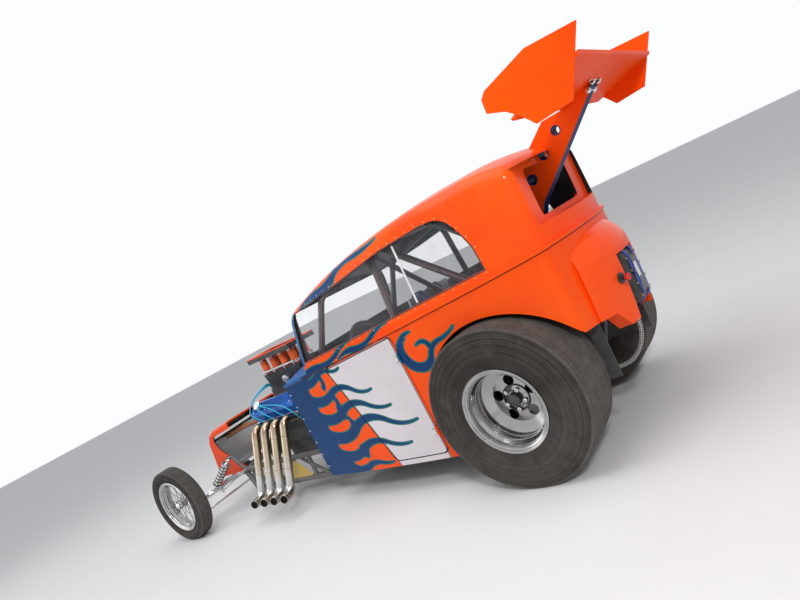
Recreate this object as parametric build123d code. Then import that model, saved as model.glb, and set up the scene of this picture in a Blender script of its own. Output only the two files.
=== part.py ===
from build123d import *
from math import cos, pi, radians, sin, tan
import os

# Drag racing car: a chopped two-door saloon body on a tube chassis with an open V8, narrow
# spindle-mount front wheels, wide rear slicks and a wing on a pylon through the rear window.
# Millimetres. X is the car's left, Y points rearward from the rear axle line, Z is up from the
# ground. save() shifts every piece so that the origin is under the middle of the whole car.

# Overall
WHEELBASE = 3029.0
GROUND_CLEARANCE = 170.0
WING_TAIL_Y = 940.0

# Front wheels and tyres
FRONT_TYRE_R = 286.5
FRONT_TYRE_W = 115.0
FRONT_TYRE_OUTER_X = 720.0
FRONT_RIM_W = 95.0
FRONT_HUB_R = 34.0
SPOKE_COUNT = 20
SPOKE_R = 3.0

# Rear wheels and tyres
REAR_TYRE_R = 394.0
REAR_TYRE_W = 330.0
REAR_TYRE_OUTER_X = 667.0
REAR_RIM_W = 314.0
REAR_DISH = 150.0
REAR_WINDOWS = 5
REAR_WINDOW_R = 27.0
REAR_WINDOW_PCD_R = 92.0
AXLE_TUBE_R = 38.0
AXLE_END_X = 322.0
STUB_R = 22.0
STUB_LENGTH = 70.0
RUN_GAP = 0.3
SHAFT_GAP = 0.05

# Every rim is for a 15 inch bead
BEAD_R = 190.5
FLANGE_R = 206.4
RIM_WALL = 6.0

# Body shell
WALL = 16.0
SILL_REACH = 60.0
SEAT_GAP = 0.3
DOOR_WALL = 30.0
BODY_REAR_HALF_W = 550.0
COWL_FRONT_HALF_W = 470.0
COWL_FRONT_Y = -1556.0
COWL_LIP_Y = -1530.0
SCREEN_Y = -1265.0
BODY_CORNER_Y = 405.0
BODY_TAIL_Y = 490.0
BODY_CORNER_HALF_W = 470.0
BODY_SILL_TUCK = 0.955
BELT_Z = 940.0
PLAN_SPLIT_Y = -100.0
SWAGE_Z = 950.0
SWAGE_RISE = 0.083
SHOULDER = 8.0
BEAD_H = 14.0
BEAD_PROUD = 7.0
BEAD_LIFT = 2.0
TUB_TOP_Z = 1060.0
CABIN_LOW_Z = 780.0
COWL_TOP_Z = 880.0
SCREEN_FOOT_Z = 905.0
TAIL_SILL_Z = 585.0
SKIRT_Z = 476.0
SKIRT_HALF_W = 190.0
CORNER_R = 75.0
ROOF_EDGE_R = 80.0
RECESS_Y = 392.0
RECESS_LOW_Z = 1070.0
RECESS_HALF_W = 400.0
ROOF_Z = 1436.0
ROOF_CROWN_R = 2400.0
ROOF_HALF_W_SHARE = 0.87
HEADER_Y = -1190.0
HEADER_Z = 1248.0
ROOF_PEAK_Y = 100.0
ROOF_TAIL = (470.0, 1368.0)
ARCH_R = 472.0
ARCH_Y = 5.0
ARCH_Z = 335.0
DOOR_FRONT_Y = -1085.0
DOOR_REAR_Y = -505.0
DOOR_DROP = 22.0
DOOR_BOTTOM_Z = 205.0
DOOR_GAP = 6.0
DOOR_CORNER_R = 40.0

# Chassis tubes
RAIL_X = 290.0
RAIL_R = 20.0
RAIL_Z = 120.0
UPPER_RAIL_Z = 292.0
RAIL_FRONT_Y = -2590.0
RAIL_TAIL_Y = 330.0
RAIL_TAIL_Z = 560.0
CAGE_R = 19.0
CAGE_X = 430.0

# Front axle and steering
AXLE_Z = 215.0
AXLE_R = 24.0
KINGPIN_X = 560.0
KINGPIN_R = 13.0
STEER_ARM = 120.0
STEER_GAP = 0.3
SPINDLE_R = 14.0

# Engine
ENGINE_Y = -1970.0
CRANK_Z = 420.0
BORE_SPACING = 112.0
BANK_ANGLE = 45.0
DECK = 235.0
PIPE_R = 28.0
PIPE_WALL = 2.0

# Nose
NOSE_HALF_W = 262.0
NOSE_WALL = 8.0

# Parachute tether
TETHER_R = 11.0

# Wing
WING_HALF_SPAN = 597.0
PLATE_T = 4.0
PYLON_W = 70.0

ORIGIN_Y = (WHEELBASE + FRONT_TYRE_R - WING_TAIL_Y) / 2
FRONT_AXLE_Y = -WHEELBASE


def save(name, shape):
    """Write one piece as a STEP file in the car's own frame."""
    placed = Pos(0, ORIGIN_Y, 0) * shape
    export_step(placed, os.path.join("parts", name + ".step"))


def yz_prism(points, x_low, x_high):
    """Extrude a polygon of (y, z) points across the car."""
    face = make_face(Polyline(*points, close=True))
    return extrude(Plane.YZ.offset(x_low) * face, amount=x_high - x_low)


def xy_prism(points, z_low, z_high):
    """Extrude a polygon of (x, y) points upwards."""
    face = make_face(Polyline(*points, close=True))
    return extrude(Pos(0, 0, z_low) * face, amount=z_high - z_low)


def xz_prism(points, y_low, y_high):
    """Extrude a polygon of (x, z) points rearwards."""
    face = make_face(Polyline(*points, close=True))
    plane = Plane(origin=(0, y_low, 0), x_dir=(1, 0, 0), z_dir=(0, -1, 0))
    return extrude(plane * face, amount=-(y_high - y_low))


def block(x_range, y_range, z_range):
    """A box between two corners."""
    size = [abs(r[1] - r[0]) for r in (x_range, y_range, z_range)]
    mid = [(r[0] + r[1]) / 2 for r in (x_range, y_range, z_range)]
    return Pos(*mid) * Box(*size)


def rod(start, end, radius, bore=0.0):
    """A round bar between two points, hollow when a bore is given."""
    a = Vector(*start)
    b = Vector(*end)
    place = Plane(origin=(a + b) * 0.5, z_dir=b - a)
    bar = place * Cylinder(radius, (b - a).length)
    if bore > 0:
        bar = bar - place * Cylinder(bore, (b - a).length + 2)
    return bar


def bent_tube(points, radius, bends, bore=0.0):
    """Sweep a round section along straight runs joined by tangent arcs."""
    path = FilletPolyline(*points, radius=bends)
    start = Plane(origin=path @ 0, z_dir=path % 0)
    ring = Circle(radius)
    if bore > 0:
        ring = ring - Circle(bore)
    return sweep(start * ring, path=path)


def both_sides(shape):
    """A piece and its mirror image about the centre plane."""
    return shape, mirror(shape, about=Plane.YZ)


def fuse(pieces):
    """Join a list of overlapping solids into one."""
    pieces = list(pieces)
    return pieces[0].fuse(*pieces[1:])


def wheel_ring(points):
    """Revolve a closed (axial, radial) outline about the X axis."""
    face = make_face(Polyline(*points, close=True))
    return revolve(face, axis=Axis.X)


# Tyres

def tyre(width, radius, tread_share, shoulder, bead_width):
    """A tyre centred on the origin with its axle along X."""
    half = width / 2
    tread = half * tread_share
    mid_r = (radius + BEAD_R) / 2
    bead = bead_width / 2
    heel_r = FLANGE_R + 1
    top = Line((-tread, radius), (tread, radius))
    right = ThreePointArc((tread, radius), (half, mid_r + shoulder), (bead, heel_r))
    bottom = Polyline((bead, heel_r), (bead, BEAD_R), (-bead, BEAD_R), (-bead, heel_r))
    left = ThreePointArc((-bead, heel_r), (-half, mid_r + shoulder), (-tread, radius))
    return revolve(make_face([top, right, bottom, left]), axis=Axis.X)


# Rims

def rim_barrel(width, drop_r):
    """The rolled rim between its two flanges, as a thin revolved wall."""
    half = width / 2
    lip = 9.0
    seat = min(24.0, (half - lip) / 2 - 3)
    outer = [(-half, FLANGE_R), (-half + lip, FLANGE_R), (-half + lip, BEAD_R),
             (-half + lip + seat, BEAD_R), (-half + lip + 2 * seat, drop_r),
             (half - lip - 2 * seat, drop_r), (half - lip - seat, BEAD_R),
             (half - lip, BEAD_R), (half - lip, FLANGE_R), (half, FLANGE_R)]
    inner = [(half, FLANGE_R - RIM_WALL), (half - lip, BEAD_R - RIM_WALL),
             (half - lip - seat, BEAD_R - RIM_WALL), (half - lip - 2 * seat, drop_r - RIM_WALL),
             (-half + lip + 2 * seat, drop_r - RIM_WALL), (-half + lip + seat, BEAD_R - RIM_WALL),
             (-half + lip, BEAD_R - RIM_WALL), (-half, FLANGE_R - RIM_WALL)]
    return wheel_ring(outer + inner)


def rear_wheel():
    """Deep-dish wheel with a holed centre, its outer lip towards +X."""
    drop_r = BEAD_R - 14
    barrel = rim_barrel(REAR_RIM_W, drop_r)
    face_x = REAR_RIM_W / 2 - REAR_DISH
    centre = wheel_ring([(face_x - 12, 0), (face_x + 12, 0), (face_x + 12, 40), (face_x, 62),
                         (face_x, 120), (face_x + 22, drop_r - 3), (face_x + 8, drop_r - 3),
                         (face_x - 10, 122), (face_x - 12, 62)])
    holes = [Rot(i * 360 / REAR_WINDOWS, 0, 0)
             * Pos(face_x, 0, REAR_WINDOW_PCD_R) * Rot(0, 90, 0) * Cylinder(REAR_WINDOW_R, 80)
             for i in range(REAR_WINDOWS)]
    cap = Pos(face_x + 22, 0, 0) * Rot(0, 90, 0) * Cylinder(30, 30)
    axle_end = AXLE_END_X - (REAR_TYRE_OUTER_X - REAR_TYRE_W / 2)
    hub = rod((axle_end + RUN_GAP, 0, 0), (face_x, 0, 0), 52)
    stub = rod((axle_end - STUB_LENGTH, 0, 0), (face_x, 0, 0), STUB_R)
    wheel = barrel + centre + cap + hub + stub
    for hole in holes:
        wheel = wheel - hole
    return wheel


def front_wheel():
    """Narrow spindle-mount wheel with two rows of thin spokes, outer side towards +X."""
    drop_r = BEAD_R - 12
    barrel = rim_barrel(FRONT_RIM_W, drop_r)
    hub = wheel_ring([(-36, SPINDLE_R + SHAFT_GAP), (24, SPINDLE_R + SHAFT_GAP), (24, 0), (34, 0),
                      (34, FRONT_HUB_R - 10), (18, FRONT_HUB_R), (-30, FRONT_HUB_R), (-36, FRONT_HUB_R - 6)])
    spokes = []
    for i in range(SPOKE_COUNT):
        turn = (i + 0.5) * 360 / SPOKE_COUNT
        root_x = 16 if i % 2 else -26
        spokes.append(Rot(turn, 0, 0) * rod((root_x, 0, FRONT_HUB_R - 6), (0, 0, drop_r - 3), SPOKE_R))
    return fuse([barrel, hub] + spokes)


# Body surfaces

def swage_z(y, drop=0.0):
    """Height of the rising swage line along the body's side."""
    return SWAGE_Z + SWAGE_RISE * y - drop


def side_share(z):
    """How wide the tub is at one height, against its width at the belt."""
    return 1 - (1 - BODY_SILL_TUCK) * (BELT_Z - z) / (BELT_Z - GROUND_CLEARANCE)


def plan_half_width(y):
    """Half-width of the plan outline ahead of the rear wheels."""
    share = (y - COWL_FRONT_Y) / (PLAN_SPLIT_Y - COWL_FRONT_Y)
    return COWL_FRONT_HALF_W + (BODY_REAR_HALF_W - COWL_FRONT_HALF_W) * (1 - (1 - share) ** 2)


def plan_face(share, z, inset, tail_y):
    """Plan outline of the body at one height, as a face."""
    mid_y = (COWL_FRONT_Y + PLAN_SPLIT_Y) / 2
    nose_w = COWL_FRONT_HALF_W * share - inset
    mid_w = plan_half_width(mid_y) * share - inset
    rear_w = BODY_REAR_HALF_W * share - inset
    corner_w = BODY_CORNER_HALF_W * share - inset
    corner_y = BODY_CORNER_Y - inset
    front_y = COWL_FRONT_Y + inset
    bulge = ((rear_w + corner_w) / 2 + 18, corner_y - 215)
    right = [ThreePointArc((nose_w, front_y), (mid_w, mid_y), (rear_w, PLAN_SPLIT_Y)),
             ThreePointArc((rear_w, PLAN_SPLIT_Y), bulge, (corner_w, corner_y))]
    left = [mirror(edge, about=Plane.YZ) for edge in right]
    tail = ThreePointArc((corner_w, corner_y), (0, tail_y - inset), (-corner_w, corner_y))
    front = Line((-nose_w, front_y), (nose_w, front_y))
    face = make_face(right + [tail] + left + [front])
    rear_corners = [v for v in face.vertices() if abs(v.Y - corner_y) < 1]
    return Pos(0, 0, z) * fillet(rear_corners, CORNER_R - inset)


def lower_body(inset, z_low, drop=0.0):
    """The tub from the sill to the rising swage line."""
    sections = [plan_face(side_share(z), z, inset, BODY_TAIL_Y) for z in (z_low, TUB_TOP_Z)]
    above = yz_prism([(-1700, swage_z(-1700, drop)), (800, swage_z(800, drop)), (800, 1400), (-1700, 1400)], -700, 700)
    return loft(sections, ruled=True) - above


def roof_barrel(inset):
    """Everything under the crowned roof, windscreen and cowl top lines."""
    top = ROOF_Z - inset
    front_y = COWL_FRONT_Y - 10
    far_y = BODY_TAIL_Y + 60
    outline = [Polyline((far_y, ROOF_TAIL[1] - 40 - inset), (far_y, CABIN_LOW_Z), (front_y, CABIN_LOW_Z),
                        (front_y, COWL_TOP_Z - inset), (SCREEN_Y + inset, SCREEN_FOOT_Z - inset),
                        (HEADER_Y + inset, HEADER_Z - inset)),
               ThreePointArc((HEADER_Y + inset, HEADER_Z - inset), (-600, 1387 - inset), (ROOF_PEAK_Y, top)),
               ThreePointArc((ROOF_PEAK_Y, top), (320, 1416 - inset), (ROOF_TAIL[0], ROOF_TAIL[1] - inset)),
               Line((ROOF_TAIL[0], ROOF_TAIL[1] - inset), (far_y, ROOF_TAIL[1] - 40 - inset))]
    axis = Axis((0, 0, ROOF_Z - ROOF_CROWN_R), (0, 1, 0))
    swing = 18
    return revolve((Plane.YZ * make_face(outline)).rotate(axis, -swing), axis=axis, revolution_arc=2 * swing)


def roof_edges(solid):
    """The edges where the roof turns down into the two sides and the tail."""
    return [e for e in solid.edges() if e.center().Z > 1180 and abs(e.center().X) > 300 and e.length > 40
            and e.center().Y > HEADER_Y + 30 and not e.geom_type == GeomType.LINE]


def upper_body(inset):
    """The cowl top and greenhouse, set in by the width of the swage ledge."""
    sections = [plan_face(1.0, CABIN_LOW_Z, inset + SHOULDER, BODY_TAIL_Y),
                plan_face(1.0, BELT_Z, inset + SHOULDER, BODY_TAIL_Y),
                plan_face(ROOF_HALF_W_SHARE, ROOF_Z + 20, inset, ROOF_TAIL[0])]
    block_out = loft(sections, ruled=True) & roof_barrel(inset)
    return fillet(roof_edges(block_out), ROOF_EDGE_R - inset)


def inner_tub(inset):
    """Space inside the tub's walls, drawn to below the sills."""
    return lower_body(inset, GROUND_CLEARANCE - SILL_REACH, 6)


def swage_bead(grow):
    """The raised strip that runs round the body along the swage line."""
    low = BEAD_H + grow
    band = yz_prism([(-1700, swage_z(-1700, low)), (800, swage_z(800, low)), (800, 1400), (-1700, 1400)], -700, 700)
    return lower_body(-BEAD_PROUD - grow, GROUND_CLEARANCE, -BEAD_LIFT - grow) & band


def body_outer():
    """The whole body as one block."""
    return lower_body(0, GROUND_CLEARANCE) + upper_body(0) + swage_bead(0)


def body_inner(inset):
    """The space inside the body."""
    return inner_tub(inset) + upper_body(inset)


def tail_recess(grow):
    """The sunk panel round the rear window, under the roof's overhang."""
    box = yz_prism([(RECESS_Y - grow, 1420), (700, 1420), (700, RECESS_LOW_Z - grow), (RECESS_Y - grow, RECESS_LOW_Z - grow)],
                   -RECESS_HALF_W - grow, RECESS_HALF_W + grow)
    return box & roof_barrel(WALL - grow)


def door_outline(grow):
    """Side outline of the half door, front edge leaning back towards its foot."""
    lean = 190.0
    return [(DOOR_FRONT_Y - grow, swage_z(DOOR_FRONT_Y, DOOR_DROP) + grow),
            (DOOR_REAR_Y + grow, swage_z(DOOR_REAR_Y, DOOR_DROP) + grow),
            (DOOR_REAR_Y + grow, DOOR_BOTTOM_Z - grow), (DOOR_FRONT_Y + lean - grow, DOOR_BOTTOM_Z - grow)]


def rounded_side_prism(points, radius, x_low, x_high):
    """A prism across the car with its long edges rounded."""
    prism = yz_prism(points, x_low, x_high)
    return fillet(prism.edges().filter_by(Axis.X), radius)


def side_window_prism(grow, x_low, x_high):
    """The one-piece side window, with a large round at its rear top corner."""
    top_end = (-60, 1302 + grow)
    rear_mid = (98 + grow * 0.7, 1200 + grow * 0.7)
    foot = (150 + grow, 1002 - grow)
    outline = [Polyline(foot, (-1226 - grow, 912 - grow), (-1166 - grow, 1192 + grow), (-800, 1228 + grow),
                        (-360, 1287 + grow), top_end),
               ThreePointArc(top_end, (38 + grow * 0.5, 1283 + grow * 0.8), rear_mid),
               ThreePointArc(rear_mid, (133 + grow * 0.9, 1113 + grow * 0.4), foot)]
    face = Pos(x_low, 0, 0) * (Plane.YZ * make_face(outline))
    return extrude(face, amount=x_high - x_low, dir=(1, 0, 0))


os.makedirs("parts", exist_ok=True)

outer = body_outer()
shell = (outer - tail_recess(0)) - (body_inner(WALL) - tail_recess(WALL))

side_span = 700
for low, high in ((120, side_span), (-side_span, -120)):
    shell = shell - side_window_prism(0, low, high)
    shell = shell - rounded_side_prism(door_outline(DOOR_GAP), DOOR_CORNER_R, low, high)
    shell = shell - Pos((low + high) / 2, ARCH_Y, ARCH_Z) * Rot(0, 90, 0) * Cylinder(ARCH_R, high - low)

# Lower edge of the tail, deeper in the middle, and the open notch for the parachute pack
NOTCH_HALF_W = 125.0
tail_edge = [(-side_span, 0), (side_span, 0), (side_span, TAIL_SILL_Z), (SKIRT_HALF_W + 70, TAIL_SILL_Z - 20),
             (SKIRT_HALF_W, SKIRT_Z), (NOTCH_HALF_W, SKIRT_Z), (NOTCH_HALF_W, 792), (-NOTCH_HALF_W, 792),
             (-NOTCH_HALF_W, SKIRT_Z), (-SKIRT_HALF_W, SKIRT_Z), (-SKIRT_HALF_W - 70, TAIL_SILL_Z - 20),
             (-side_span, TAIL_SILL_Z)]
tail_cut = xz_prism(tail_edge, ARCH_Y, 700)
shell = shell - tail_cut

# Rear window, windscreen, pylon slot, open bottom behind and open firewall end
shell = shell - fillet(block((-257, 257), (300, 470), (1094, 1322)).edges().filter_by(Axis.Y), 28)
screen_cut = yz_prism([(-1330, 938), (-1230, 938), (-1110, 1196), (-1330, 1196)], -440, 440)
shell = shell - screen_cut
pylon_slot = yz_prism([(505, 1510), (775, 1510), (775, 1095), (300, 1095), (225, 1290), (332, 1445)],
                      -PYLON_W / 2 - 4, PYLON_W / 2 + 4)
shell = shell - pylon_slot
shell = shell - block((-700, 700), (COWL_FRONT_Y - 50, COWL_LIP_Y), (0, 1100))
PANE_IN_X = 390.0
PANE_T = 3.0
PANE_LAP = 12.0
pane_space = body_inner(WALL + SEAT_GAP) - body_inner(WALL + SEAT_GAP + PANE_T)
pane = (pane_space & side_window_prism(PANE_LAP, PANE_IN_X, side_span)) - screen_cut
cowl_cut = yz_prism([(COWL_FRONT_Y - 40, 60), (COWL_FRONT_Y - 40, 1000), (-1236, 1000), (-1236, 880),
                     (DOOR_FRONT_Y - 60, 860), (DOOR_FRONT_Y + 120, 60)], -700, 700)
save("cowl", shell & cowl_cut)
save("body_shell", shell - cowl_cut)
save("side_windows", Compound(list(both_sides(pane))))

HINGE_ZS = (330.0, 760.0)
HINGE_R = 8.0
HINGE_PIN_R = 4.0
HINGE_BARREL = 36.0
HINGE_LUG = 12.0
HINGE_TILT_ROOM = 2.5
hinge_y = DOOR_REAR_Y + DOOR_GAP / 2


def side_x(y, z):
    """Half-width of the body's outer surface at one point of its side."""
    probe = outer & block((0, 900), (y - 0.5, y + 0.5), (z - 0.5, z + 0.5))
    return probe.bounding_box().max.X


hinge_low = Vector(side_x(hinge_y, HINGE_ZS[0]) + HINGE_R, hinge_y, HINGE_ZS[0])
hinge_high = Vector(side_x(hinge_y, HINGE_ZS[1]) + HINGE_R, hinge_y, HINGE_ZS[1])
hinge_dir = (hinge_high - hinge_low).normalized()
print("door hinge axis", [round(v, 5) for v in (hinge_dir.X, hinge_dir.Y, hinge_dir.Z)],
      "through", [round(v, 3) for v in (hinge_low.X, hinge_low.Y + ORIGIN_Y, hinge_low.Z)])


def hinge_pieces(at):
    """Door half and body half of one hinge, around a point of the hinge line."""
    half = HINGE_BARREL / 2
    far = half + RUN_GAP + HINGE_LUG
    barrel = rod(at - hinge_dir * half, at + hinge_dir * half, HINGE_R)
    barrel = barrel - rod(at - hinge_dir * (half + 1), at + hinge_dir * (half + 1), HINGE_PIN_R + SHAFT_GAP)
    wing = block((at.X - HINGE_R - 6, at.X - 2), (at.Y - 42, at.Y - HINGE_PIN_R - 1),
                 (at.Z - half + HINGE_TILT_ROOM, at.Z + half - HINGE_TILT_ROOM))
    pin = rod(at - hinge_dir * far, at + hinge_dir * far, HINGE_PIN_R)
    lugs = [rod(at + hinge_dir * (s * (half + RUN_GAP)), at + hinge_dir * (s * far), HINGE_R) for s in (1, -1)]
    strap = block((at.X - HINGE_R + 1.2, at.X - 2), (at.Y + HINGE_R + 1.5, at.Y + 44), (at.Z - far + 1, at.Z + far - 1))
    arms = [block((at.X - HINGE_R + 1.2, at.X - 2), (at.Y, at.Y + 14),
                  tuple(sorted((at.Z + s * (half + 1.5), at.Z + s * (far - 1))))) for s in (1, -1)]
    return barrel + wing, fuse([pin, strap] + lugs + arms)


door_zone = rounded_side_prism(door_outline(0), DOOR_CORNER_R, 300, side_span)
door_skin = (lower_body(0, GROUND_CLEARANCE) - inner_tub(DOOR_WALL)) & door_zone
door_halves = []
body_halves = []
for at in (hinge_low, hinge_high):
    door_half, body_half = hinge_pieces(at)
    door_halves.append(door_half)
    body_halves.append(body_half - Pos(SEAT_GAP, 0, 0) * outer)
door = fuse([door_skin] + door_halves)
for name, piece in zip(("door_left", "door_right"), both_sides(door)):
    save(name, piece)
hinges = []
for piece in body_halves:
    hinges.extend(both_sides(piece))
save("door_hinges", Compound(hinges))

# Wheels
rear_x = REAR_TYRE_OUTER_X - REAR_TYRE_W / 2
front_x = FRONT_TYRE_OUTER_X - FRONT_TYRE_W / 2
slick = tyre(REAR_TYRE_W, REAR_TYRE_R, 0.86, 20, REAR_RIM_W - 18)
ribbed = tyre(FRONT_TYRE_W, FRONT_TYRE_R, 0.78, 8, FRONT_RIM_W - 18)
rear_rim = rear_wheel()
front_rim = front_wheel()
for side, sign in (("left", 1), ("right", -1)):
    face_out = Rot(0, 0, 0 if sign > 0 else 180)
    save("rear_tyre_" + side, Pos(sign * rear_x, 0, REAR_TYRE_R) * slick)
    save("rear_wheel_" + side, Pos(sign * rear_x, 0, REAR_TYRE_R) * face_out * rear_rim)
    save("front_tyre_" + side, Pos(sign * front_x, FRONT_AXLE_Y, FRONT_TYRE_R) * ribbed)
    save("front_wheel_" + side, Pos(sign * front_x, FRONT_AXLE_Y, FRONT_TYRE_R) * face_out * front_rim)

hoop_y = -515.0
# Chassis: two-tier side frames, kicked up over the rear axle
lower_rail = bent_tube([(RAIL_X, RAIL_FRONT_Y, RAIL_Z), (RAIL_X, -430, RAIL_Z), (RAIL_X, -190, RAIL_TAIL_Z),
                        (RAIL_X, RAIL_TAIL_Y, RAIL_TAIL_Z)], RAIL_R, 60)
upper_rail = rod((RAIL_X, RAIL_FRONT_Y - 60, UPPER_RAIL_Z), (RAIL_X, -1440, UPPER_RAIL_Z), RAIL_R)
side_frame = [lower_rail, upper_rail]
post_ys = [RAIL_FRONT_Y + 30, -2260, -1880, -1440]
for y in post_ys:
    side_frame.append(rod((RAIL_X, y, RAIL_Z), (RAIL_X, y, UPPER_RAIL_Z), RAIL_R * 0.75))
for y_low, y_high in ((-1735, -1990), (-2230, -2020), (-2590, -2290)):
    side_frame.append(rod((RAIL_X, y_low, RAIL_Z), (RAIL_X, y_high, UPPER_RAIL_Z), RAIL_R * 0.6))
side_frame.append(rod((RAIL_X, RAIL_FRONT_Y, RAIL_Z), (RAIL_X, RAIL_FRONT_Y - 60, UPPER_RAIL_Z), RAIL_R))
LADDER_Y = -770.0
LADDER_Z = 215.0
LADDER_TUBE_R = 14.0
FLOOR_LOW = 171.3
FLOOR_T = 3.0
SHOCK_TOP = (-2740.0, 420.0)
cage_feet = [(CAGE_X, hoop_y), (400.0, -1200.0)]
for foot_x, y in cage_feet:
    side_frame.append(rod((RAIL_X, y, RAIL_Z), (foot_x, y, RAIL_Z + 30), RAIL_R * 0.8))
    side_frame.append(block((foot_x - 30, foot_x + 30), (y - 30, y + 30), (RAIL_Z + 25, FLOOR_LOW - SEAT_GAP)))
side_frame.append(rod((RAIL_X, LADDER_Y, RAIL_Z), (RAIL_X, LADDER_Y, LADDER_Z + LADDER_TUBE_R), LADDER_TUBE_R))
side_frame.append(rod((RAIL_X, RAIL_FRONT_Y - 50, UPPER_RAIL_Z), (RAIL_X, *SHOCK_TOP), 13))
for name, piece in zip(("frame_left", "frame_right"), both_sides(fuse(side_frame))):
    save(name, piece)

# Cross tubes, butted against the two side frames
CROSS_R = RAIL_R * 0.9
cross_end = RAIL_X - RAIL_R - SEAT_GAP
ladder_end = RAIL_X - LADDER_TUBE_R - SEAT_GAP
cross_tubes = [(-1440, RAIL_Z), (-1000, RAIL_Z), (-480, RAIL_Z), (120, RAIL_TAIL_Z)]
crossings = [rod((-cross_end, y, z), (cross_end, y, z), CROSS_R) for y, z in cross_tubes]
crossings.append(rod((-ladder_end, LADDER_Y, LADDER_Z), (ladder_end, LADDER_Y, LADDER_Z), LADDER_TUBE_R))
# Rear hanger that holds the tether's lug below the axle
hanger_y = 175.0
hanger_z = 235.0
tail_parts = [bent_tube([(-180, RAIL_TAIL_Y - 20, RAIL_TAIL_Z), (-180, hanger_y, hanger_z),
                         (180, hanger_y, hanger_z), (180, RAIL_TAIL_Y - 20, RAIL_TAIL_Z)], 14, 40)]
# Bracket behind the last cross tube for the parachute pack, and the tether's lug
TETHER_END_Y = hanger_y + 24
tail_parts.append(block((-60, 60), (RAIL_TAIL_Y - 20, 399.7), (552, 568)))
tail_parts.append(block((-60, 60), (391, 399.7), (552, 700)))
tail_parts.append(block((-12, 16), (hanger_y - 22, TETHER_END_Y), (hanger_z - 22, hanger_z + 22)))
# Tow eyes: flat plates with an upright hole, on the first and last cross tubes
EYE_BORE_R = 13.0
EYE_PLATE_T = 10.0
EYE_HALF_W = 24.0
EYE_REACH = 42.0


def eyed_tube(eye_x, tube_y, way, z, extras):
    """A cross tube with a tow eye on it, its plate reaching towards +Y or -Y."""
    end_y = tube_y + way * (EYE_REACH + EYE_HALF_W)
    plate = block((eye_x - EYE_HALF_W, eye_x + EYE_HALF_W), (min(tube_y, end_y), max(tube_y, end_y)),
                  (z - EYE_PLATE_T / 2, z + EYE_PLATE_T / 2))
    tube = fuse([rod((-cross_end, tube_y, z), (cross_end, tube_y, z), CROSS_R), plate] + extras)
    bore_y = tube_y + way * EYE_REACH
    return tube - rod((eye_x, bore_y, z - EYE_PLATE_T), (eye_x, bore_y, z + EYE_PLATE_T), EYE_BORE_R)


crossings.append(eyed_tube(0.0, RAIL_FRONT_Y - 34, 1, UPPER_RAIL_Z, []))
save("frame_cross_tubes", Compound(crossings))
save("frame_tail", eyed_tube(-150.0, RAIL_TAIL_Y - 20, -1, RAIL_TAIL_Z, tail_parts))

# Gusset plates between the tubes beside the engine
gusset = yz_prism([(-2215, RAIL_Z + RAIL_R + 0.3), (-1900, RAIL_Z + RAIL_R + 0.3), (-2010, UPPER_RAIL_Z - RAIL_R - 0.3),
                   (-2030, UPPER_RAIL_Z - RAIL_R - 0.3)], RAIL_X + RAIL_R * 0.6 + 0.3, RAIL_X + RAIL_R * 0.6 + 3.3)
save("frame_gussets", Compound(list(both_sides(gusset))))

# Roll cage: its feet stand on the floor over the frame's pads
hoop_top = 1328.0
cage_foot_z = FLOOR_LOW + FLOOR_T + SEAT_GAP
SEAT_BAR_Z = 480.0
SEAT_BAR_R = 15.0
SEAT_BAR_YS = (-930.0, -600.0)
DASH_Y = -1225.0
cage = [bent_tube([(CAGE_X, hoop_y, cage_foot_z), (CAGE_X, hoop_y, 900), (380, hoop_y, hoop_top),
                   (-380, hoop_y, hoop_top), (-CAGE_X, hoop_y, 900), (-CAGE_X, hoop_y, cage_foot_z)], CAGE_R,
                  [200, 120, 120, 200])]
for sx in (1, -1):
    cage.append(bent_tube([(sx * 370, hoop_y, hoop_top), (sx * 375, -980, 1215), (sx * 400, -1190, 870),
                           (sx * 400, -1200, cage_foot_z)], CAGE_R, [120, 200]))
    cage.append(rod((sx * CAGE_X, hoop_y, SEAT_BAR_Z), (sx * 400, -1195, SEAT_BAR_Z), CAGE_R))
    stay = rod((sx * 300, hoop_y, hoop_top), (sx * 248, RAIL_TAIL_Y + 5, RAIL_TAIL_Z + 10), CAGE_R)
    cage.append(stay - block((-700, 700), (0, 700), (300, RAIL_TAIL_Z + RAIL_R * 0.9 + SEAT_GAP)))
    for foot_x, y in cage_feet:
        cage.append(block((sx * foot_x - 30, sx * foot_x + 30), (y - 30, y + 30), (cage_foot_z, cage_foot_z + 5)))
    cage.append(block((sx * 400 - 10, sx * 400 + 10), (DASH_Y, -1190), (770, 800)))
cage.append(rod((-CAGE_X, hoop_y, 640), (370, hoop_y, hoop_top - 30), CAGE_R * 0.8))
cage.append(rod((-CAGE_X, hoop_y, 900), (CAGE_X, hoop_y, 900), CAGE_R * 0.8))
for y in SEAT_BAR_YS:
    cage.append(rod((-412, y, SEAT_BAR_Z), (412, y, SEAT_BAR_Z), SEAT_BAR_R))
save("roll_cage", fuse(cage))

# Engine: plain block, two heads, rocker covers
def bank_point(along, across, side=1):
    """Point in X and Z at a distance up one cylinder bank and outwards from it."""
    a = radians(BANK_ANGLE)
    return side * (along * sin(a) + across * cos(a)), CRANK_Z + along * cos(a) - across * sin(a)


def bank_prism(corners, y_low, y_high, side):
    """A bar of the engine drawn in bank directions, extruded along the crank."""
    return xz_prism([bank_point(u, v, side) for u, v in corners], y_low, y_high)


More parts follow.
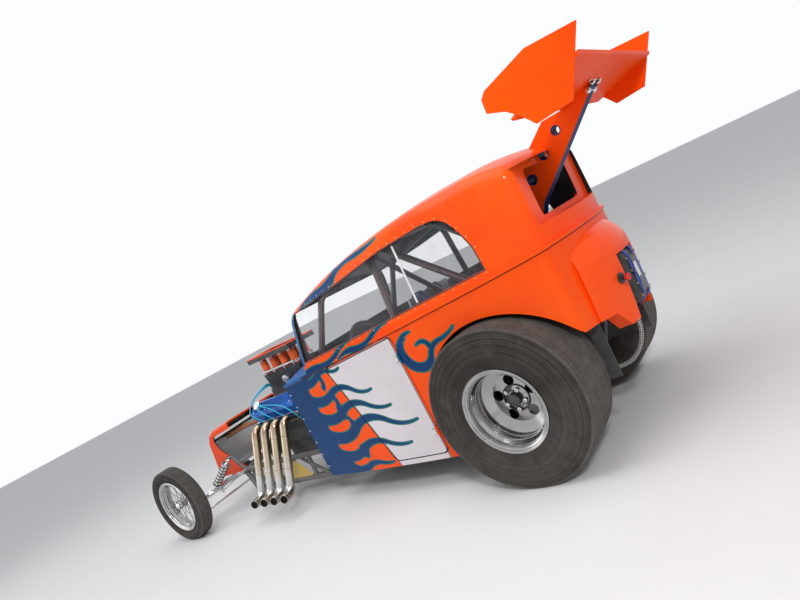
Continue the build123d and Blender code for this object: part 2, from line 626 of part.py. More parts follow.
block_front = ENGINE_Y - 2.5 * BORE_SPACING
block_rear = ENGINE_Y + 2.5 * BORE_SPACING
half_block = [(0, CRANK_Z - 200), (110, CRANK_Z - 200), (130, CRANK_Z - 60), (150, CRANK_Z - 60),
              (150, CRANK_Z + 30), bank_point(DECK, 75), bank_point(DECK, -75), (40, CRANK_Z + 165),
              (0, CRANK_Z + 165)]
engine_half = xz_prism(half_block, block_front, block_rear)
engine_block = fuse(both_sides(engine_half))
save("engine_block", engine_block)

HEAD_H = 95.0
HEAD_HALF_W = 78.0
heads = []
covers = []
for side in (1, -1):
    heads.append(bank_prism([(DECK, -HEAD_HALF_W), (DECK, HEAD_HALF_W), (DECK + HEAD_H, HEAD_HALF_W),
                             (DECK + HEAD_H, -HEAD_HALF_W)], ENGINE_Y - 265, ENGINE_Y + 265, side))
    cover_base = DECK + HEAD_H
    cover = bank_prism([(cover_base, -66), (cover_base, 70), (cover_base + 62, 58), (cover_base + 78, 34),
                        (cover_base + 78, -40), (cover_base + 62, -58)], ENGINE_Y - 240, ENGINE_Y + 240, side)
    covers.append(cover)
save("cylinder_heads", Compound(heads))
save("rocker_covers", Compound(covers))

# Motor plates stand on the upper rails, in front of and behind the block
PLATE_THICK = 6.0
plate_foot = UPPER_RAIL_Z + RAIL_R + 0.3
plates = []
for y in (block_front - PLATE_THICK, block_rear):
    plates.append(xz_prism([(-RAIL_X, plate_foot), (RAIL_X, plate_foot), (RAIL_X, plate_foot + 70),
                            (190, 545), (-190, 545), (-RAIL_X, plate_foot + 70)], y, y + PLATE_THICK))
save("motor_plates", Compound(plates))

# Front drive: timing cover, water pump and crank pulley
front_face = block_front - PLATE_THICK
timing = xz_prism([(-120, CRANK_Z - 60), (120, CRANK_Z - 60), (100, CRANK_Z + 110), (40, CRANK_Z + 150),
                   (-40, CRANK_Z + 150), (-100, CRANK_Z + 110)], front_face - 45, front_face)
pump = Pos(0, front_face - 80, CRANK_Z + 110) * Rot(90, 0, 0) * Cylinder(48, 72)
pulley = Pos(0, front_face - 70, CRANK_Z) * Rot(90, 0, 0) * Cylinder(80, 52)
save("front_drive", fuse([timing, pump, pulley]))

# Tall ram manifold with eight stacks and the air tray above them
STACK_R = 27.0
STACK_X = 62.0
MANIFOLD_TOP = 885.0
STACK_TOP = 1002.0
stack_ys = [ENGINE_Y + (i - 1.5) * BORE_SPACING for i in range(4)]
manifold = fuse([
    xz_prism([(-95, CRANK_Z + 166), (95, CRANK_Z + 166), (105, 650), (58, 720), (-58, 720), (-105, 650)],
             ENGINE_Y - 206, ENGINE_Y + 225),
    xz_prism([(-58, 700), (58, 700), (92, MANIFOLD_TOP), (-92, MANIFOLD_TOP)], ENGINE_Y - 198, ENGINE_Y + 205)])
manifold = manifold - engine_block - heads[0] - heads[1]
save("intake_manifold", manifold)
stacks = []
for y in stack_ys:
    for x in (-STACK_X, STACK_X):
        stacks.append(rod((x, y, MANIFOLD_TOP), (x, y, STACK_TOP), STACK_R))
save("injector_stacks", Compound(stacks))
tray = block((-135, 135), (ENGINE_Y - 245, ENGINE_Y + 245), (STACK_TOP, STACK_TOP + 34))
tray = tray - block((-127, 127), (ENGINE_Y - 237, ENGINE_Y + 237), (STACK_TOP + 6, STACK_TOP + 60))
save("air_tray", tray)

# Magneto at the front of the valley
valley_z = CRANK_Z + 165
magneto = fuse([rod((0, ENGINE_Y - 252, valley_z + 0.3), (0, ENGINE_Y - 252, 700), 22),
                rod((0, ENGINE_Y - 252, 690), (0, ENGINE_Y - 252, 760), 42)])
save("magneto", magneto)

# Header pipes: four each side, swept down, forward and out
PIPE_LEAN = 95.0
PIPE_FOOT = (530.0, 150.0)
PIPE_END = (636.0, 158.0)
port_x, port_z = bank_point(DECK + 50, HEAD_HALF_W + 4)
header = []
for y in stack_ys:
    foot_y = y - PIPE_LEAN
    header.append(bent_tube([(port_x, y, port_z), (392, y, 600), (PIPE_FOOT[0], foot_y, PIPE_FOOT[1]),
                             (PIPE_END[0], foot_y + 46, PIPE_END[1])], PIPE_R, [48, 56], PIPE_R - PIPE_WALL))
flange = bank_prism([(DECK + 15, HEAD_HALF_W), (DECK + 15, HEAD_HALF_W + 9), (DECK + 85, HEAD_HALF_W + 9),
                     (DECK + 85, HEAD_HALF_W)], ENGINE_Y - 215, ENGINE_Y + 215, 1)
header_side = fuse([flange] + header) - heads[0]
for name, piece in zip(("header_left", "header_right"), both_sides(header_side)):
    save(name, piece)

# Gearbox and propeller shaft
bell = Pos(0, (block_rear + PLATE_THICK + -1505) / 2, CRANK_Z) * Rot(-90, 0, 0) * Cone(
    185, 105, -1505 - (block_rear + PLATE_THICK))
case = fillet(block((-90, 90), (-1506, -1130), (CRANK_Z - 130, CRANK_Z + 95)).edges().filter_by(Axis.Y), 30)
save("gearbox", fuse([bell, case]))
DIFF_NOSE_Y = -225.0
save("propshaft", rod((0, -1130 + 1.3, CRANK_Z), (0, DIFF_NOSE_Y - 1.3, REAR_TYRE_R), 32))

# Rear axle housing with its centre, and the hubs' bearings
tube_half = rod((0, 0, REAR_TYRE_R), (AXLE_END_X, 0, REAR_TYRE_R), AXLE_TUBE_R)
tube_half = tube_half - rod((AXLE_END_X - 80, 0, REAR_TYRE_R), (AXLE_END_X + 1, 0, REAR_TYRE_R), STUB_R + SHAFT_GAP)
centre = Pos(0, 0, REAR_TYRE_R) * Rot(0, 90, 0) * Cylinder(120, 170)
nose = Pos(0, (DIFF_NOSE_Y - 60) / 2, REAR_TYRE_R) * Rot(90, 0, 0) * Cone(95, 45, -(DIFF_NOSE_Y + 60))
TAB_X = 205.0
TAB_FRONT_Y = -70.0
TAB_REAR_Y = 70.0
ladder_tabs = [block((s * TAB_X - 12, s * TAB_X + 12), y_range, (REAR_TYRE_R - 110, top))
               for s in (1, -1) for y_range, top in (((TAB_FRONT_Y, 30), REAR_TYRE_R + 100), ((29, TAB_REAR_Y), 346))]
rear_axle = fuse(list(both_sides(tube_half)) + [centre, nose] + ladder_tabs)
save("rear_axle", rear_axle)

# Ladder bars from the housing to the pivot tube
bars = []
for s in (1, -1):
    x = s * TAB_X
    bar = fuse([rod((x, TAB_FRONT_Y + 20, REAR_TYRE_R + 70), (x, LADDER_Y, LADDER_Z), 14),
                rod((x, TAB_FRONT_Y + 20, REAR_TYRE_R - 80), (x, LADDER_Y, LADDER_Z), 14),
                rod((x, -330, 250), (x, -330, 380), 9),
                rod((x - 16, LADDER_Y, LADDER_Z), (x + 16, LADDER_Y, LADDER_Z), 25)])
    bar = bar - rod((x - 40, LADDER_Y, LADDER_Z), (x + 40, LADDER_Y, LADDER_Z), LADDER_TUBE_R + SEAT_GAP)
    bars.append(bar - block((x - 40, x + 40), (TAB_FRONT_Y - SEAT_GAP, 60), (200, 600)))
save("ladder_bars", Compound(bars))

# Coil-over units: the rear pair behind the axle, the front pair down to lugs on the beam
COIL_EYE_R = 16.0


def coil_over(low, high, barrel_r):
    """A damper with its spring as a plain barrel and a round eye across each end."""
    low = Vector(*low)
    high = Vector(*high)
    run = high - low
    eyes = [rod((p.X - 14, p.Y, p.Z), (p.X + 14, p.Y, p.Z), COIL_EYE_R) for p in (low, high)]
    return fuse([rod(low, high, 11), rod(low + run * 0.2, low + run * 0.82, barrel_r)] + eyes)


LUG_X = 420.0
LUG_REAR_Y = FRONT_AXLE_Y + 40
coils = []
for s in (1, -1):
    top_z = RAIL_TAIL_Z - RAIL_R * 0.9 - SEAT_GAP - COIL_EYE_R
    coils.append(coil_over((s * TAB_X, TAB_REAR_Y + SEAT_GAP + COIL_EYE_R, 330), (s * TAB_X, 120, top_z), 32))
    front_low = (s * LUG_X, LUG_REAR_Y + SEAT_GAP + COIL_EYE_R, AXLE_Z + 14)
    coils.append(coil_over(front_low, (s * (RAIL_X + 13 + SEAT_GAP + 14), *SHOCK_TOP), 26))
save("coilovers", Compound(coils))

# Front axle beam with bosses bored for the kingpins
BOSS_R = 25.0
BOSS_LOW = 187.0
BOSS_HIGH = 243.0
beam = rod((-KINGPIN_X, FRONT_AXLE_Y, AXLE_Z), (KINGPIN_X, FRONT_AXLE_Y, AXLE_Z), AXLE_R)
for s in (1, -1):
    beam = beam + rod((s * KINGPIN_X, FRONT_AXLE_Y, BOSS_LOW), (s * KINGPIN_X, FRONT_AXLE_Y, BOSS_HIGH), BOSS_R)
    beam = beam + block((s * LUG_X - 12, s * LUG_X + 12), (FRONT_AXLE_Y, LUG_REAR_Y), (AXLE_Z - 4, AXLE_Z + 30))
for s in (1, -1):
    beam = beam - rod((s * KINGPIN_X, FRONT_AXLE_Y, BOSS_LOW - 1), (s * KINGPIN_X, FRONT_AXLE_Y, BOSS_HIGH + 1),
                      KINGPIN_R + 0.05)
save("front_axle", beam)

# Knuckles: yoke ears above and below the boss, kingpin, spindle and steering arm
EAR_T = 16.0
ARM_Z = BOSS_LOW - STEER_GAP - EAR_T / 2
PIN_R = 7.0
TIE_Z = 146.0
DRAG_Z = 196.0
EYE_R = 16.0
EYE_H = 16.0
SPINDLE_TIP_X = front_x + 22


def knuckle():
    ear_low = (BOSS_LOW - STEER_GAP - EAR_T, BOSS_LOW - STEER_GAP)
    ear_high = (BOSS_HIGH + STEER_GAP, BOSS_HIGH + STEER_GAP + EAR_T)
    web_x = KINGPIN_X + BOSS_R + 6
    parts = [rod((KINGPIN_X, FRONT_AXLE_Y, ear_low[0]), (KINGPIN_X, FRONT_AXLE_Y, ear_high[1]), KINGPIN_R)]
    for low, high in (ear_low, ear_high):
        parts.append(rod((KINGPIN_X, FRONT_AXLE_Y, low), (KINGPIN_X, FRONT_AXLE_Y, high), BOSS_R))
        parts.append(block((KINGPIN_X, web_x + 10), (FRONT_AXLE_Y - 22, FRONT_AXLE_Y + 22), (low, high)))
    parts.append(block((web_x, web_x + 12), (FRONT_AXLE_Y - 24, FRONT_AXLE_Y + 24), (ear_low[0], FRONT_TYRE_R + 28)))
    parts.append(rod((web_x + 2, FRONT_AXLE_Y, FRONT_TYRE_R), (SPINDLE_TIP_X, FRONT_AXLE_Y, FRONT_TYRE_R), SPINDLE_R))
    arm_tip = FRONT_AXLE_Y + STEER_ARM
    parts.append(block((KINGPIN_X - 13, KINGPIN_X + 13), (FRONT_AXLE_Y, arm_tip), ear_low))
    parts.append(rod((KINGPIN_X, arm_tip, ear_low[0]), (KINGPIN_X, arm_tip, ear_low[1]), 15))
    parts.append(rod((KINGPIN_X, arm_tip, TIE_Z - EYE_H / 2 - 3), (KINGPIN_X, arm_tip, ear_low[1]), PIN_R))
    return parts


arm_tip_y = FRONT_AXLE_Y + STEER_ARM
save("knuckle_left", fuse(knuckle()))
drag_pin = rod((KINGPIN_X, arm_tip_y, ARM_Z), (KINGPIN_X, arm_tip_y, DRAG_Z + EYE_H / 2 + 3), PIN_R)
save("knuckle_right", mirror(fuse(knuckle() + [drag_pin]), about=Plane.YZ))

# Tie rod under both steering arms
def link(start, end, radius):
    """A rod with a bored eye at each end that turns on an upright pin."""
    bar = fuse([rod(start, end, radius)] + [Pos(*p) * Cylinder(EYE_R, EYE_H) for p in (start, end)])
    for p in (start, end):
        bar = bar - Pos(*p) * Cylinder(PIN_R + 0.05, EYE_H + 2)
    return bar


save("tie_rod", link((-KINGPIN_X, arm_tip_y, TIE_Z), (KINGPIN_X, arm_tip_y, TIE_Z), 9))

# Cross steering: box on the left upper rail, pitman arm and drag link to the right arm
PITMAN_X = 215.0
PITMAN_Y = -2760.0
BOX_LOW = 236.0
PITMAN_SHAFT_R = 12.0
pitman_tip = (PITMAN_X, PITMAN_Y + STEER_ARM, DRAG_Z)
box = fillet(block((PITMAN_X - 32, PITMAN_X + 32), (PITMAN_Y - 38, PITMAN_Y + 60), (BOX_LOW, BOX_LOW + 90)).edges(), 8)
box = box - rod((PITMAN_X, PITMAN_Y, BOX_LOW - 1), (PITMAN_X, PITMAN_Y, BOX_LOW + 40), PITMAN_SHAFT_R + 0.05)
bracket = block((PITMAN_X - 30, PITMAN_X + 22), (PITMAN_Y + 55, RAIL_FRONT_Y - 34 - RAIL_R * 0.9 - 0.3),
                (UPPER_RAIL_Z - 10, UPPER_RAIL_Z + 10))
shaft_start = (PITMAN_X, PITMAN_Y + 55, BOX_LOW + 14)
shaft_end = (240.0, -1470.0, 302.0)
SHAFT_R = 10.0
JOINT_R = 16.0
column_joint = (0.0, -1410.0, 700.0)
wheel_centre = (0.0, -1120.0, 815.0)
save("steering_box", fuse([box, bracket, rod(shaft_start, shaft_end, SHAFT_R), rod(shaft_end, column_joint, SHAFT_R),
                           Pos(*shaft_end) * Sphere(JOINT_R), Pos(*column_joint) * Sphere(JOINT_R)]))
pitman_low = ARM_Z - EAR_T / 2
pitman = fuse([block((PITMAN_X - 12, PITMAN_X + 12), (PITMAN_Y, PITMAN_Y + STEER_ARM), (pitman_low, pitman_low + EAR_T)),
               rod((PITMAN_X, PITMAN_Y, pitman_low), (PITMAN_X, PITMAN_Y, BOX_LOW + 38), PITMAN_SHAFT_R),
               rod((PITMAN_X, PITMAN_Y, pitman_low), (PITMAN_X, PITMAN_Y, pitman_low + EAR_T), 18),
               rod((PITMAN_X, PITMAN_Y + STEER_ARM, pitman_low), (PITMAN_X, PITMAN_Y + STEER_ARM, DRAG_Z + EYE_H / 2 + 3), PIN_R),
               rod((PITMAN_X, PITMAN_Y + STEER_ARM, pitman_low), (PITMAN_X, PITMAN_Y + STEER_ARM, pitman_low + EAR_T), 15)])
save("pitman_arm", pitman)
save("drag_link", link(pitman_tip, (-KINGPIN_X, arm_tip_y, DRAG_Z), 9))

# Hairpin radius rods from the axle to the frame
rods = []
for s in (1, -1):
    pivot = (s * (RAIL_X + 34), RAIL_FRONT_Y - 30, UPPER_RAIL_Z)
    ear_x = s * (RAIL_X + 48)
    rods.append(fuse([rod((ear_x, FRONT_AXLE_Y + 14, AXLE_Z + 44), pivot, 9), rod((ear_x, FRONT_AXLE_Y + 14, AXLE_Z - 34), pivot, 9),
                      block((ear_x - 5, ear_x + 5), (FRONT_AXLE_Y - 20, FRONT_AXLE_Y + 22), (AXLE_Z + AXLE_R + 0.3, AXLE_Z + 58)),
                      block((ear_x - 5, ear_x + 5), (FRONT_AXLE_Y - 20, FRONT_AXLE_Y + 22), (AXLE_Z - 48, AXLE_Z - AXLE_R - 0.3)),
                      block((ear_x - 5, ear_x + 5), (FRONT_AXLE_Y + AXLE_R + 0.3, FRONT_AXLE_Y + 36), (AXLE_Z - 48, AXLE_Z + 58)),
                      rod((s * (RAIL_X + 44), pivot[1], UPPER_RAIL_Z), (s * (RAIL_X + RAIL_R + 0.3), pivot[1], UPPER_RAIL_Z), 11)]))
save("radius_rods", Compound(rods))

# Nose shell with an open grille, open sides and back
NOSE_TAIL_Y = RAIL_FRONT_Y - 34 - RAIL_R * 0.9 - SEAT_GAP
nose_line = [(-3070, 262), (-3005, 560), (-2960, 618), (-2890, 650), (NOSE_TAIL_Y, 686), (NOSE_TAIL_Y, 277)]
nose_outer = yz_prism(nose_line, -NOSE_HALF_W, NOSE_HALF_W)
for side in (0, -1):
    rounded = nose_outer.faces().sort_by(Axis.X)[side].edges().filter_by(
        lambda e: e.center().Y < NOSE_TAIL_Y - 5 and e.center().Z > 300)
    nose_outer = fillet(rounded, 22)
nose_in = yz_prism([(-3059, 220), (-2998, 555), (-2955, 609), (-2887, 641), (-2600, 678), (-2600, 220)],
                   -NOSE_HALF_W + NOSE_WALL, NOSE_HALF_W - NOSE_WALL)
side_cut = yz_prism([(-2640 + 60, 640), (-2890, 600), (-2915, 560), (-2880, 480), (-2640, 290), (-2580, 280)], -400, 400)
grille_cut = block((-200, 200), (-3200, -2960), (300, 590))
nose_shell = nose_outer - nose_in - side_cut - grille_cut
bars = [block((x - 4, x + 4), (-3066, -2990), (296, 594)) & yz_prism([(-3064, 270), (-2998, 570), (-2985, 567), (-3051, 267)], -300, 300)
        for x in range(-180, 181, 24)]
save("nose_shell", fuse([nose_shell] + [b for b in bars]))
radiator_w = NOSE_HALF_W - NOSE_WALL - SEAT_GAP
save("radiator", block((-radiator_w, radiator_w), (-2950, -2900), (300, 560)))

# Floor, firewall and dash panel, cut to the inside of the body
inside = body_inner(WALL + SEAT_GAP)
floor = block((-700, 700), (-1420, -445), (FLOOR_LOW, FLOOR_LOW + FLOOR_T)) & inside
firewall = block((-700, 700), (-1503, -1499), (FLOOR_LOW + FLOOR_T, 1000)) & inside
firewall = firewall - rod((0, -1520, CRANK_Z), (0, -1480, CRANK_Z), 170)
firewall = firewall - rod(shaft_start, shaft_end, SHAFT_R + 5)
for s in (1, -1):
    firewall = firewall - rod((s * RAIL_X, -1520, UPPER_RAIL_Z), (s * RAIL_X, -1480, UPPER_RAIL_Z), RAIL_R + SEAT_GAP)
    floor = floor - rod((s * RAIL_X, LADDER_Y, RAIL_Z), (s * RAIL_X, LADDER_Y, LADDER_Z), LADDER_TUBE_R + SEAT_GAP)
column_dir = (Vector(*wheel_centre) - Vector(*column_joint)).normalized()
COLUMN_R = 11.0
dash = block((-410, 410), (DASH_Y - SEAT_GAP - 6, DASH_Y - SEAT_GAP), (700, 880))
dash = dash - rod(column_joint, wheel_centre, COLUMN_R + SHAFT_GAP)
save("cabin_panels", Compound([floor, firewall, dash]))
tub_r = ARCH_R + 12
TUB_X = RAIL_X + RAIL_R + 4
tub = rod((TUB_X, ARCH_Y, ARCH_Z), (TUB_X + 220, ARCH_Y, ARCH_Z), tub_r)
tub = tub - rod((TUB_X + 4, ARCH_Y, ARCH_Z), (TUB_X + 240, ARCH_Y, ARCH_Z), tub_r - 4)
tub = tub - rod((TUB_X - 10, 0, REAR_TYRE_R), (TUB_X + 10, 0, REAR_TYRE_R), AXLE_TUBE_R + 30)
tub = tub - block((250, 700), (-700, 700), (-300, 300))
tub = tub & inner_tub(WALL + SEAT_GAP)
save("wheel_tubs", Compound(list(both_sides(tub))))

# Seat on the cage's two cross tubes
SEAT_FRONT_Y = -1000.0
SEAT_BACK_Y = -540.0
SEAT_LOW = SEAT_BAR_Z + SEAT_BAR_R + SEAT_GAP
SEAT_TOP = 985.0
SHEET = 12.0
pad_low = SEAT_LOW + SHEET + SEAT_GAP
pad_back_y = SEAT_BACK_Y - SHEET - SEAT_GAP
seat = fuse([block((-215, 215), (SEAT_FRONT_Y, SEAT_BACK_Y), (SEAT_LOW, SEAT_LOW + SHEET)),
             block((-215, 215), (SEAT_BACK_Y - SHEET, SEAT_BACK_Y), (SEAT_LOW, SEAT_TOP)),
             block((-215, -205), (-940, SEAT_BACK_Y), (SEAT_LOW, 675)),
             block((205, 215), (-940, SEAT_BACK_Y), (SEAT_LOW, 675))])
save("seat_shell", seat)
save("seat_pad", fuse([block((-200, 200), (-985, pad_back_y), (pad_low, pad_low + 40)),
                       block((-195, 195), (pad_back_y - 40, pad_back_y), (pad_low + 40, SEAT_TOP - 20))]))

# Steering wheel on its column, which runs through the dash panel to the joint ball
rim_plane = Plane(origin=wheel_centre, x_dir=(1, 0, 0), z_dir=column_dir)
column_foot = Vector(*column_joint) + column_dir * (JOINT_R + SEAT_GAP)
save("steering_wheel", fuse([rod(column_foot, wheel_centre, COLUMN_R), rod(column_foot, column_foot + column_dir * 34, 16),
                             rim_plane * Torus(150, 12), rim_plane * Box(290, 34, 8)]))

# Wing: pylon, blade, end plates and adjuster rods
BLADE_NOSE = (585.0, 1486.0)
BLADE_TAIL = (900.0, 1568.0)
blade_rise = (BLADE_TAIL[1] - BLADE_NOSE[1]) / (BLADE_TAIL[0] - BLADE_NOSE[0])


def blade_seat_z(y):
    """Height just under the blade's flat underside."""
    return BLADE_NOSE[1] + (y - BLADE_NOSE[0]) * blade_rise - SEAT_GAP


pylon_base = RAIL_TAIL_Z + RAIL_R * 0.9 + SEAT_GAP
pylon_line = [(484, 1484), (582, blade_seat_z(582)), (760, blade_seat_z(760)), (745, 1505), (330, 1141),
              (140, 820), (140, pylon_base), (100, pylon_base), (60, 800), (240, 1290), (313, 1358)]
pylon = yz_prism(pylon_line, -PYLON_W / 2, PYLON_W / 2)
for y, z, hole_r in ((526, 1418, 19), (426, 1346, 22), (324, 1263, 22), (222, 1120, 22)):
    pylon = pylon - Pos(0, y, z) * Rot(0, 90, 0) * Cylinder(hole_r, 200)
save("wing_pylon", pylon)
blade_points = [BLADE_NOSE, BLADE_TAIL, (905, 1582), (740, 1548), (600, 1504), (580, 1495)]
blade = yz_prism(blade_points, -WING_HALF_SPAN + PLATE_T + 0.3, WING_HALF_SPAN - PLATE_T - 0.3)
save("wing_blade", blade)
plate_line = [(940, 1668), (740, 1690), (535, 1640), (508, 1615), (505, 1560), (575, 1530), (620, 1490), (665, 1430), (820, 1438)]
plate = yz_prism(plate_line, WING_HALF_SPAN - PLATE_T, WING_HALF_SPAN)
save("wing_end_plates", Compound(list(both_sides(plate))))

# Boot dome on the back panel, turned about an upright axis, and the parachute in its notch
DOME_R = 560.0
DOME_Y = 580.0
DOME_CROWN = (DOME_Y, 800.0)
DOME_TOP = (400.0, 968.0)
DOME_FOOT = (562.0, 480.0)
crown_r = (DOME_TOP[1] - DOME_CROWN[1]) ** 2 / (2 * (DOME_Y - DOME_TOP[0])) + (DOME_Y - DOME_TOP[0]) / 2
crown_mid = (DOME_Y - crown_r * (1 - cos(pi / 4)), DOME_CROWN[1] + crown_r * sin(pi / 4))
flank_mid = (DOME_Y - (DOME_Y - DOME_FOOT[0]) / 4, (DOME_CROWN[1] + DOME_FOOT[1]) / 2)
dome_line = [ThreePointArc(DOME_TOP, crown_mid, DOME_CROWN), ThreePointArc(DOME_CROWN, flank_mid, DOME_FOOT),
             Polyline(DOME_FOOT, (DOME_TOP[0], DOME_FOOT[1]), DOME_TOP)]
dome_axis = Axis((0, DOME_Y - DOME_R, 0), (0, 0, 1))
lid = revolve((Plane.YZ * make_face(dome_line)).rotate(dome_axis, -38), axis=dome_axis, revolution_arc=76)
lid = lid - lower_body(-SEAT_GAP, GROUND_CLEARANCE) - upper_body(-SEAT_GAP) - swage_bead(SEAT_GAP) - tail_cut
save("boot_lid", lid)
pack = fillet(block((-92, 92), (400, 575), (535, 788)).edges(), 22)
save("parachute_pack", pack)

# Parachute tether from the pack to the lug on the rear hanger
tether_points = [(30, 500, 535), (30, 500, 462), (24, 484, 378), (15, 440, 304), (7, 378, 252), (2, 300, hanger_z),
                 (2, TETHER_END_Y, hanger_z)]


def tether_radii(points):
    """The largest arc at each corner that both neighbouring runs allow."""
    radii = []
    for before, here, after in zip(points, points[1:], points[2:]):
        run_in = Vector(*here) - Vector(*before)
        run_out = Vector(*after) - Vector(*here)
        turn = radians(run_in.get_angle(run_out))
        radii.append(0.45 * min(run_in.length, run_out.length) / tan(turn / 2))
    return radii


radii = tether_radii(tether_points)
print("tether radii", [round(r) for r in radii])
tether = bent_tube(tether_points, TETHER_R, radii)
save("parachute_tether", tether)
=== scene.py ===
import logging
import math
import random
from dataclasses import dataclass, field
from enum import Enum
from typing import Callable, Iterator, Optional, Sequence

import bmesh
import bpy
from mathutils import Matrix, Vector, noise
from mathutils.bvhtree import BVHTree


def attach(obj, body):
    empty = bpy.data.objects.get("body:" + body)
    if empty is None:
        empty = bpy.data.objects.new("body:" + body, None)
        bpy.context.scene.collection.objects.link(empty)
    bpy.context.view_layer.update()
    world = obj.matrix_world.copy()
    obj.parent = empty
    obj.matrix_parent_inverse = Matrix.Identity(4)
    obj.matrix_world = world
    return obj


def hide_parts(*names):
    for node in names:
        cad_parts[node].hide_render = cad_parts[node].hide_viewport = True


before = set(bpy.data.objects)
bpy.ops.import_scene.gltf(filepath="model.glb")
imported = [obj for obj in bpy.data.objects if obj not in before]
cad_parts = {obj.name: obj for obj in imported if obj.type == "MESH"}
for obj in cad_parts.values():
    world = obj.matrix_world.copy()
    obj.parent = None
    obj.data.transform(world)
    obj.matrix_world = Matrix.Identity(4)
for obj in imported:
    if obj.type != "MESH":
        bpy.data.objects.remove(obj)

LOG = logging.getLogger("drag_car")
Colour = tuple[float, float, float]
Socket, Material, Object = bpy.types.NodeSocket, bpy.types.Material, bpy.types.Object
Path = Sequence[Vector]
Profile = Sequence[tuple[float, float]]

REAR_AXLE_Y = 1.18775
FRONT_AXLE_Y = -3.029
REAR_TYRE_R = 0.394
FRONT_TYRE_R = 0.2865
REAR_WHEEL_X = 0.502
FRONT_WHEEL_X = 0.6625
SEED = 7
SWAGE_Z = 0.950
SWAGE_RISE = 0.083
SWAGE_DROP = 0.022
SWAGE_SHADOW = 0.0055
SHARP = math.radians(40.0)
BOTH_SIDES = (("left", 1), ("right", -1))
LEFTWARD, BACKWARD, UPWARD = (Vector(way) for way in ((1.0, 0.0, 0.0), (0.0, 1.0, 0.0), (0.0, 0.0, 1.0)))


def at(x: float, y: float, z: float) -> Vector:
    """Gives a place in the model.

    Args:
        x: Metres to the car's left.
        y: Metres behind the rear axle.
        z: Metres above the ground.

    Returns:
        The same place in the model's own axes.
    """
    return Vector((x, y + REAR_AXLE_Y, z))


class Graph:
    """Adds nodes to one node tree and links them as they come."""

    def __init__(self, tree: bpy.types.NodeTree) -> None:
        """Keeps the tree that the nodes go into."""
        self.tree = tree

    def add(self, kind: str, inputs: Optional[dict] = None, out: int | str = 0, **props: object) -> Socket:
        """Adds one node.

        Args:
            kind: The node's type.
            inputs: Values or sockets, by the input's name or number.
            out: Which output is wanted.
            props: Settings of the node itself.

        Returns:
            The wanted output socket.
        """
        node = self.tree.nodes.new(kind)
        for name, value in props.items():
            setattr(node, name, value)
        self.feed(node, inputs or {})
        return node.outputs[out]

    def feed(self, node: bpy.types.Node, inputs: dict) -> None:
        """Sets or links inputs of a node, by their name or number."""
        for key, value in inputs.items():
            if isinstance(value, Socket):
                self.tree.links.new(value, node.inputs[key])
            else:
                node.inputs[key].default_value = value

    def group(self, shared: bpy.types.NodeTree, inputs: dict) -> bpy.types.Node:
        """Adds a shared group and gives its node."""
        return self.add("ShaderNodeGroup", inputs, node_tree=shared).node

    def bump(self, shader: bpy.types.Node, height: object, depth: float, strength: float) -> None:
        """Feeds a height into a shader's normal."""
        inputs = {"Height": height, "Distance": depth, "Strength": strength}
        self.feed(shader, {"Normal": self.add("ShaderNodeBump", inputs)})

    def math(self, operation: str, *values: object, clamp: bool = False) -> Socket:
        """Adds a Math node on one to three values."""
        return self.add("ShaderNodeMath", dict(enumerate(values)), operation=operation, use_clamp=clamp)

    def vector(self, operation: str, *values: object, out: str = "Vector") -> Socket:
        """Adds a Vector Math node on one or two values."""
        return self.add("ShaderNodeVectorMath", dict(enumerate(values)), out=out, operation=operation)

    def step(self, value: object, low: float, high: float) -> Socket:
        """Gives 0 below low, 1 above high, and a smooth step between."""
        return self.add("ShaderNodeMapRange", {"Value": value, "From Min": low, "From Max": high},
                        interpolation_type="SMOOTHSTEP")

    def mix(self, share: object, first: object, second: object) -> Socket:
        """Mixes two colours, given as sockets or as three numbers."""
        first, second = ((*value, 1.0) if isinstance(value, tuple) else value for value in (first, second))
        return self.add("ShaderNodeMix", {0: share, 6: first, 7: second}, out=2, data_type="RGBA")


def new_material(name: str) -> tuple[Material, Graph, bpy.types.Node, Socket]:
    """Starts a material.

    Args:
        name: Its name.

    Returns:
        The material, its graph, its shader and the place in the object's own axes.
    """
    material = bpy.data.materials.new(name)
    material.use_nodes = True
    graph = Graph(material.node_tree)
    return material, graph, material.node_tree.nodes["Principled BSDF"], graph.add("ShaderNodeTexCoord", out="Object")


def new_object(name: str, data: bpy.types.ID) -> Object:
    """Puts an object with its data into the scene."""
    made = bpy.data.objects.new(name, data)
    bpy.context.scene.collection.objects.link(made)
    return made


def plain_mesh(made: Object) -> bpy.types.Mesh:
    """Gives the mesh that an object's modifiers or its curve come to."""
    graph = bpy.context.evaluated_depsgraph_get()
    return bpy.data.meshes.new_from_object(made.evaluated_get(graph), depsgraph=graph)


def shader_group(name: str, inputs: Sequence[tuple[str, str, object]], outputs: Sequence[tuple[str, str]],
                 fill: Callable[[Graph, dict], dict]) -> bpy.types.NodeTree:
    """Builds one shared shader group.

    Args:
        name: The group's name.
        inputs: Name, kind and usual value of each input.
        outputs: Name and kind of each output.
        fill: Adds the nodes, and gives the sockets for the outputs by name.

    Returns:
        The group.
    """
    tree = bpy.data.node_groups.new(name, "ShaderNodeTree")
    for label, kind, usual in inputs:
        socket = tree.interface.new_socket(label, in_out="INPUT", socket_type="NodeSocket" + kind)
        if usual is not None:
            socket.default_value = usual
    for label, kind in outputs:
        tree.interface.new_socket(label, in_out="OUTPUT", socket_type="NodeSocket" + kind)
    graph = Graph(tree)
    entry = tree.nodes.new("NodeGroupInput")
    leave = tree.nodes.new("NodeGroupOutput")
    made = fill(graph, {socket.name: socket for socket in entry.outputs if socket.name})
    for label, socket in made.items():
        tree.links.new(socket, leave.inputs[label])
    return tree


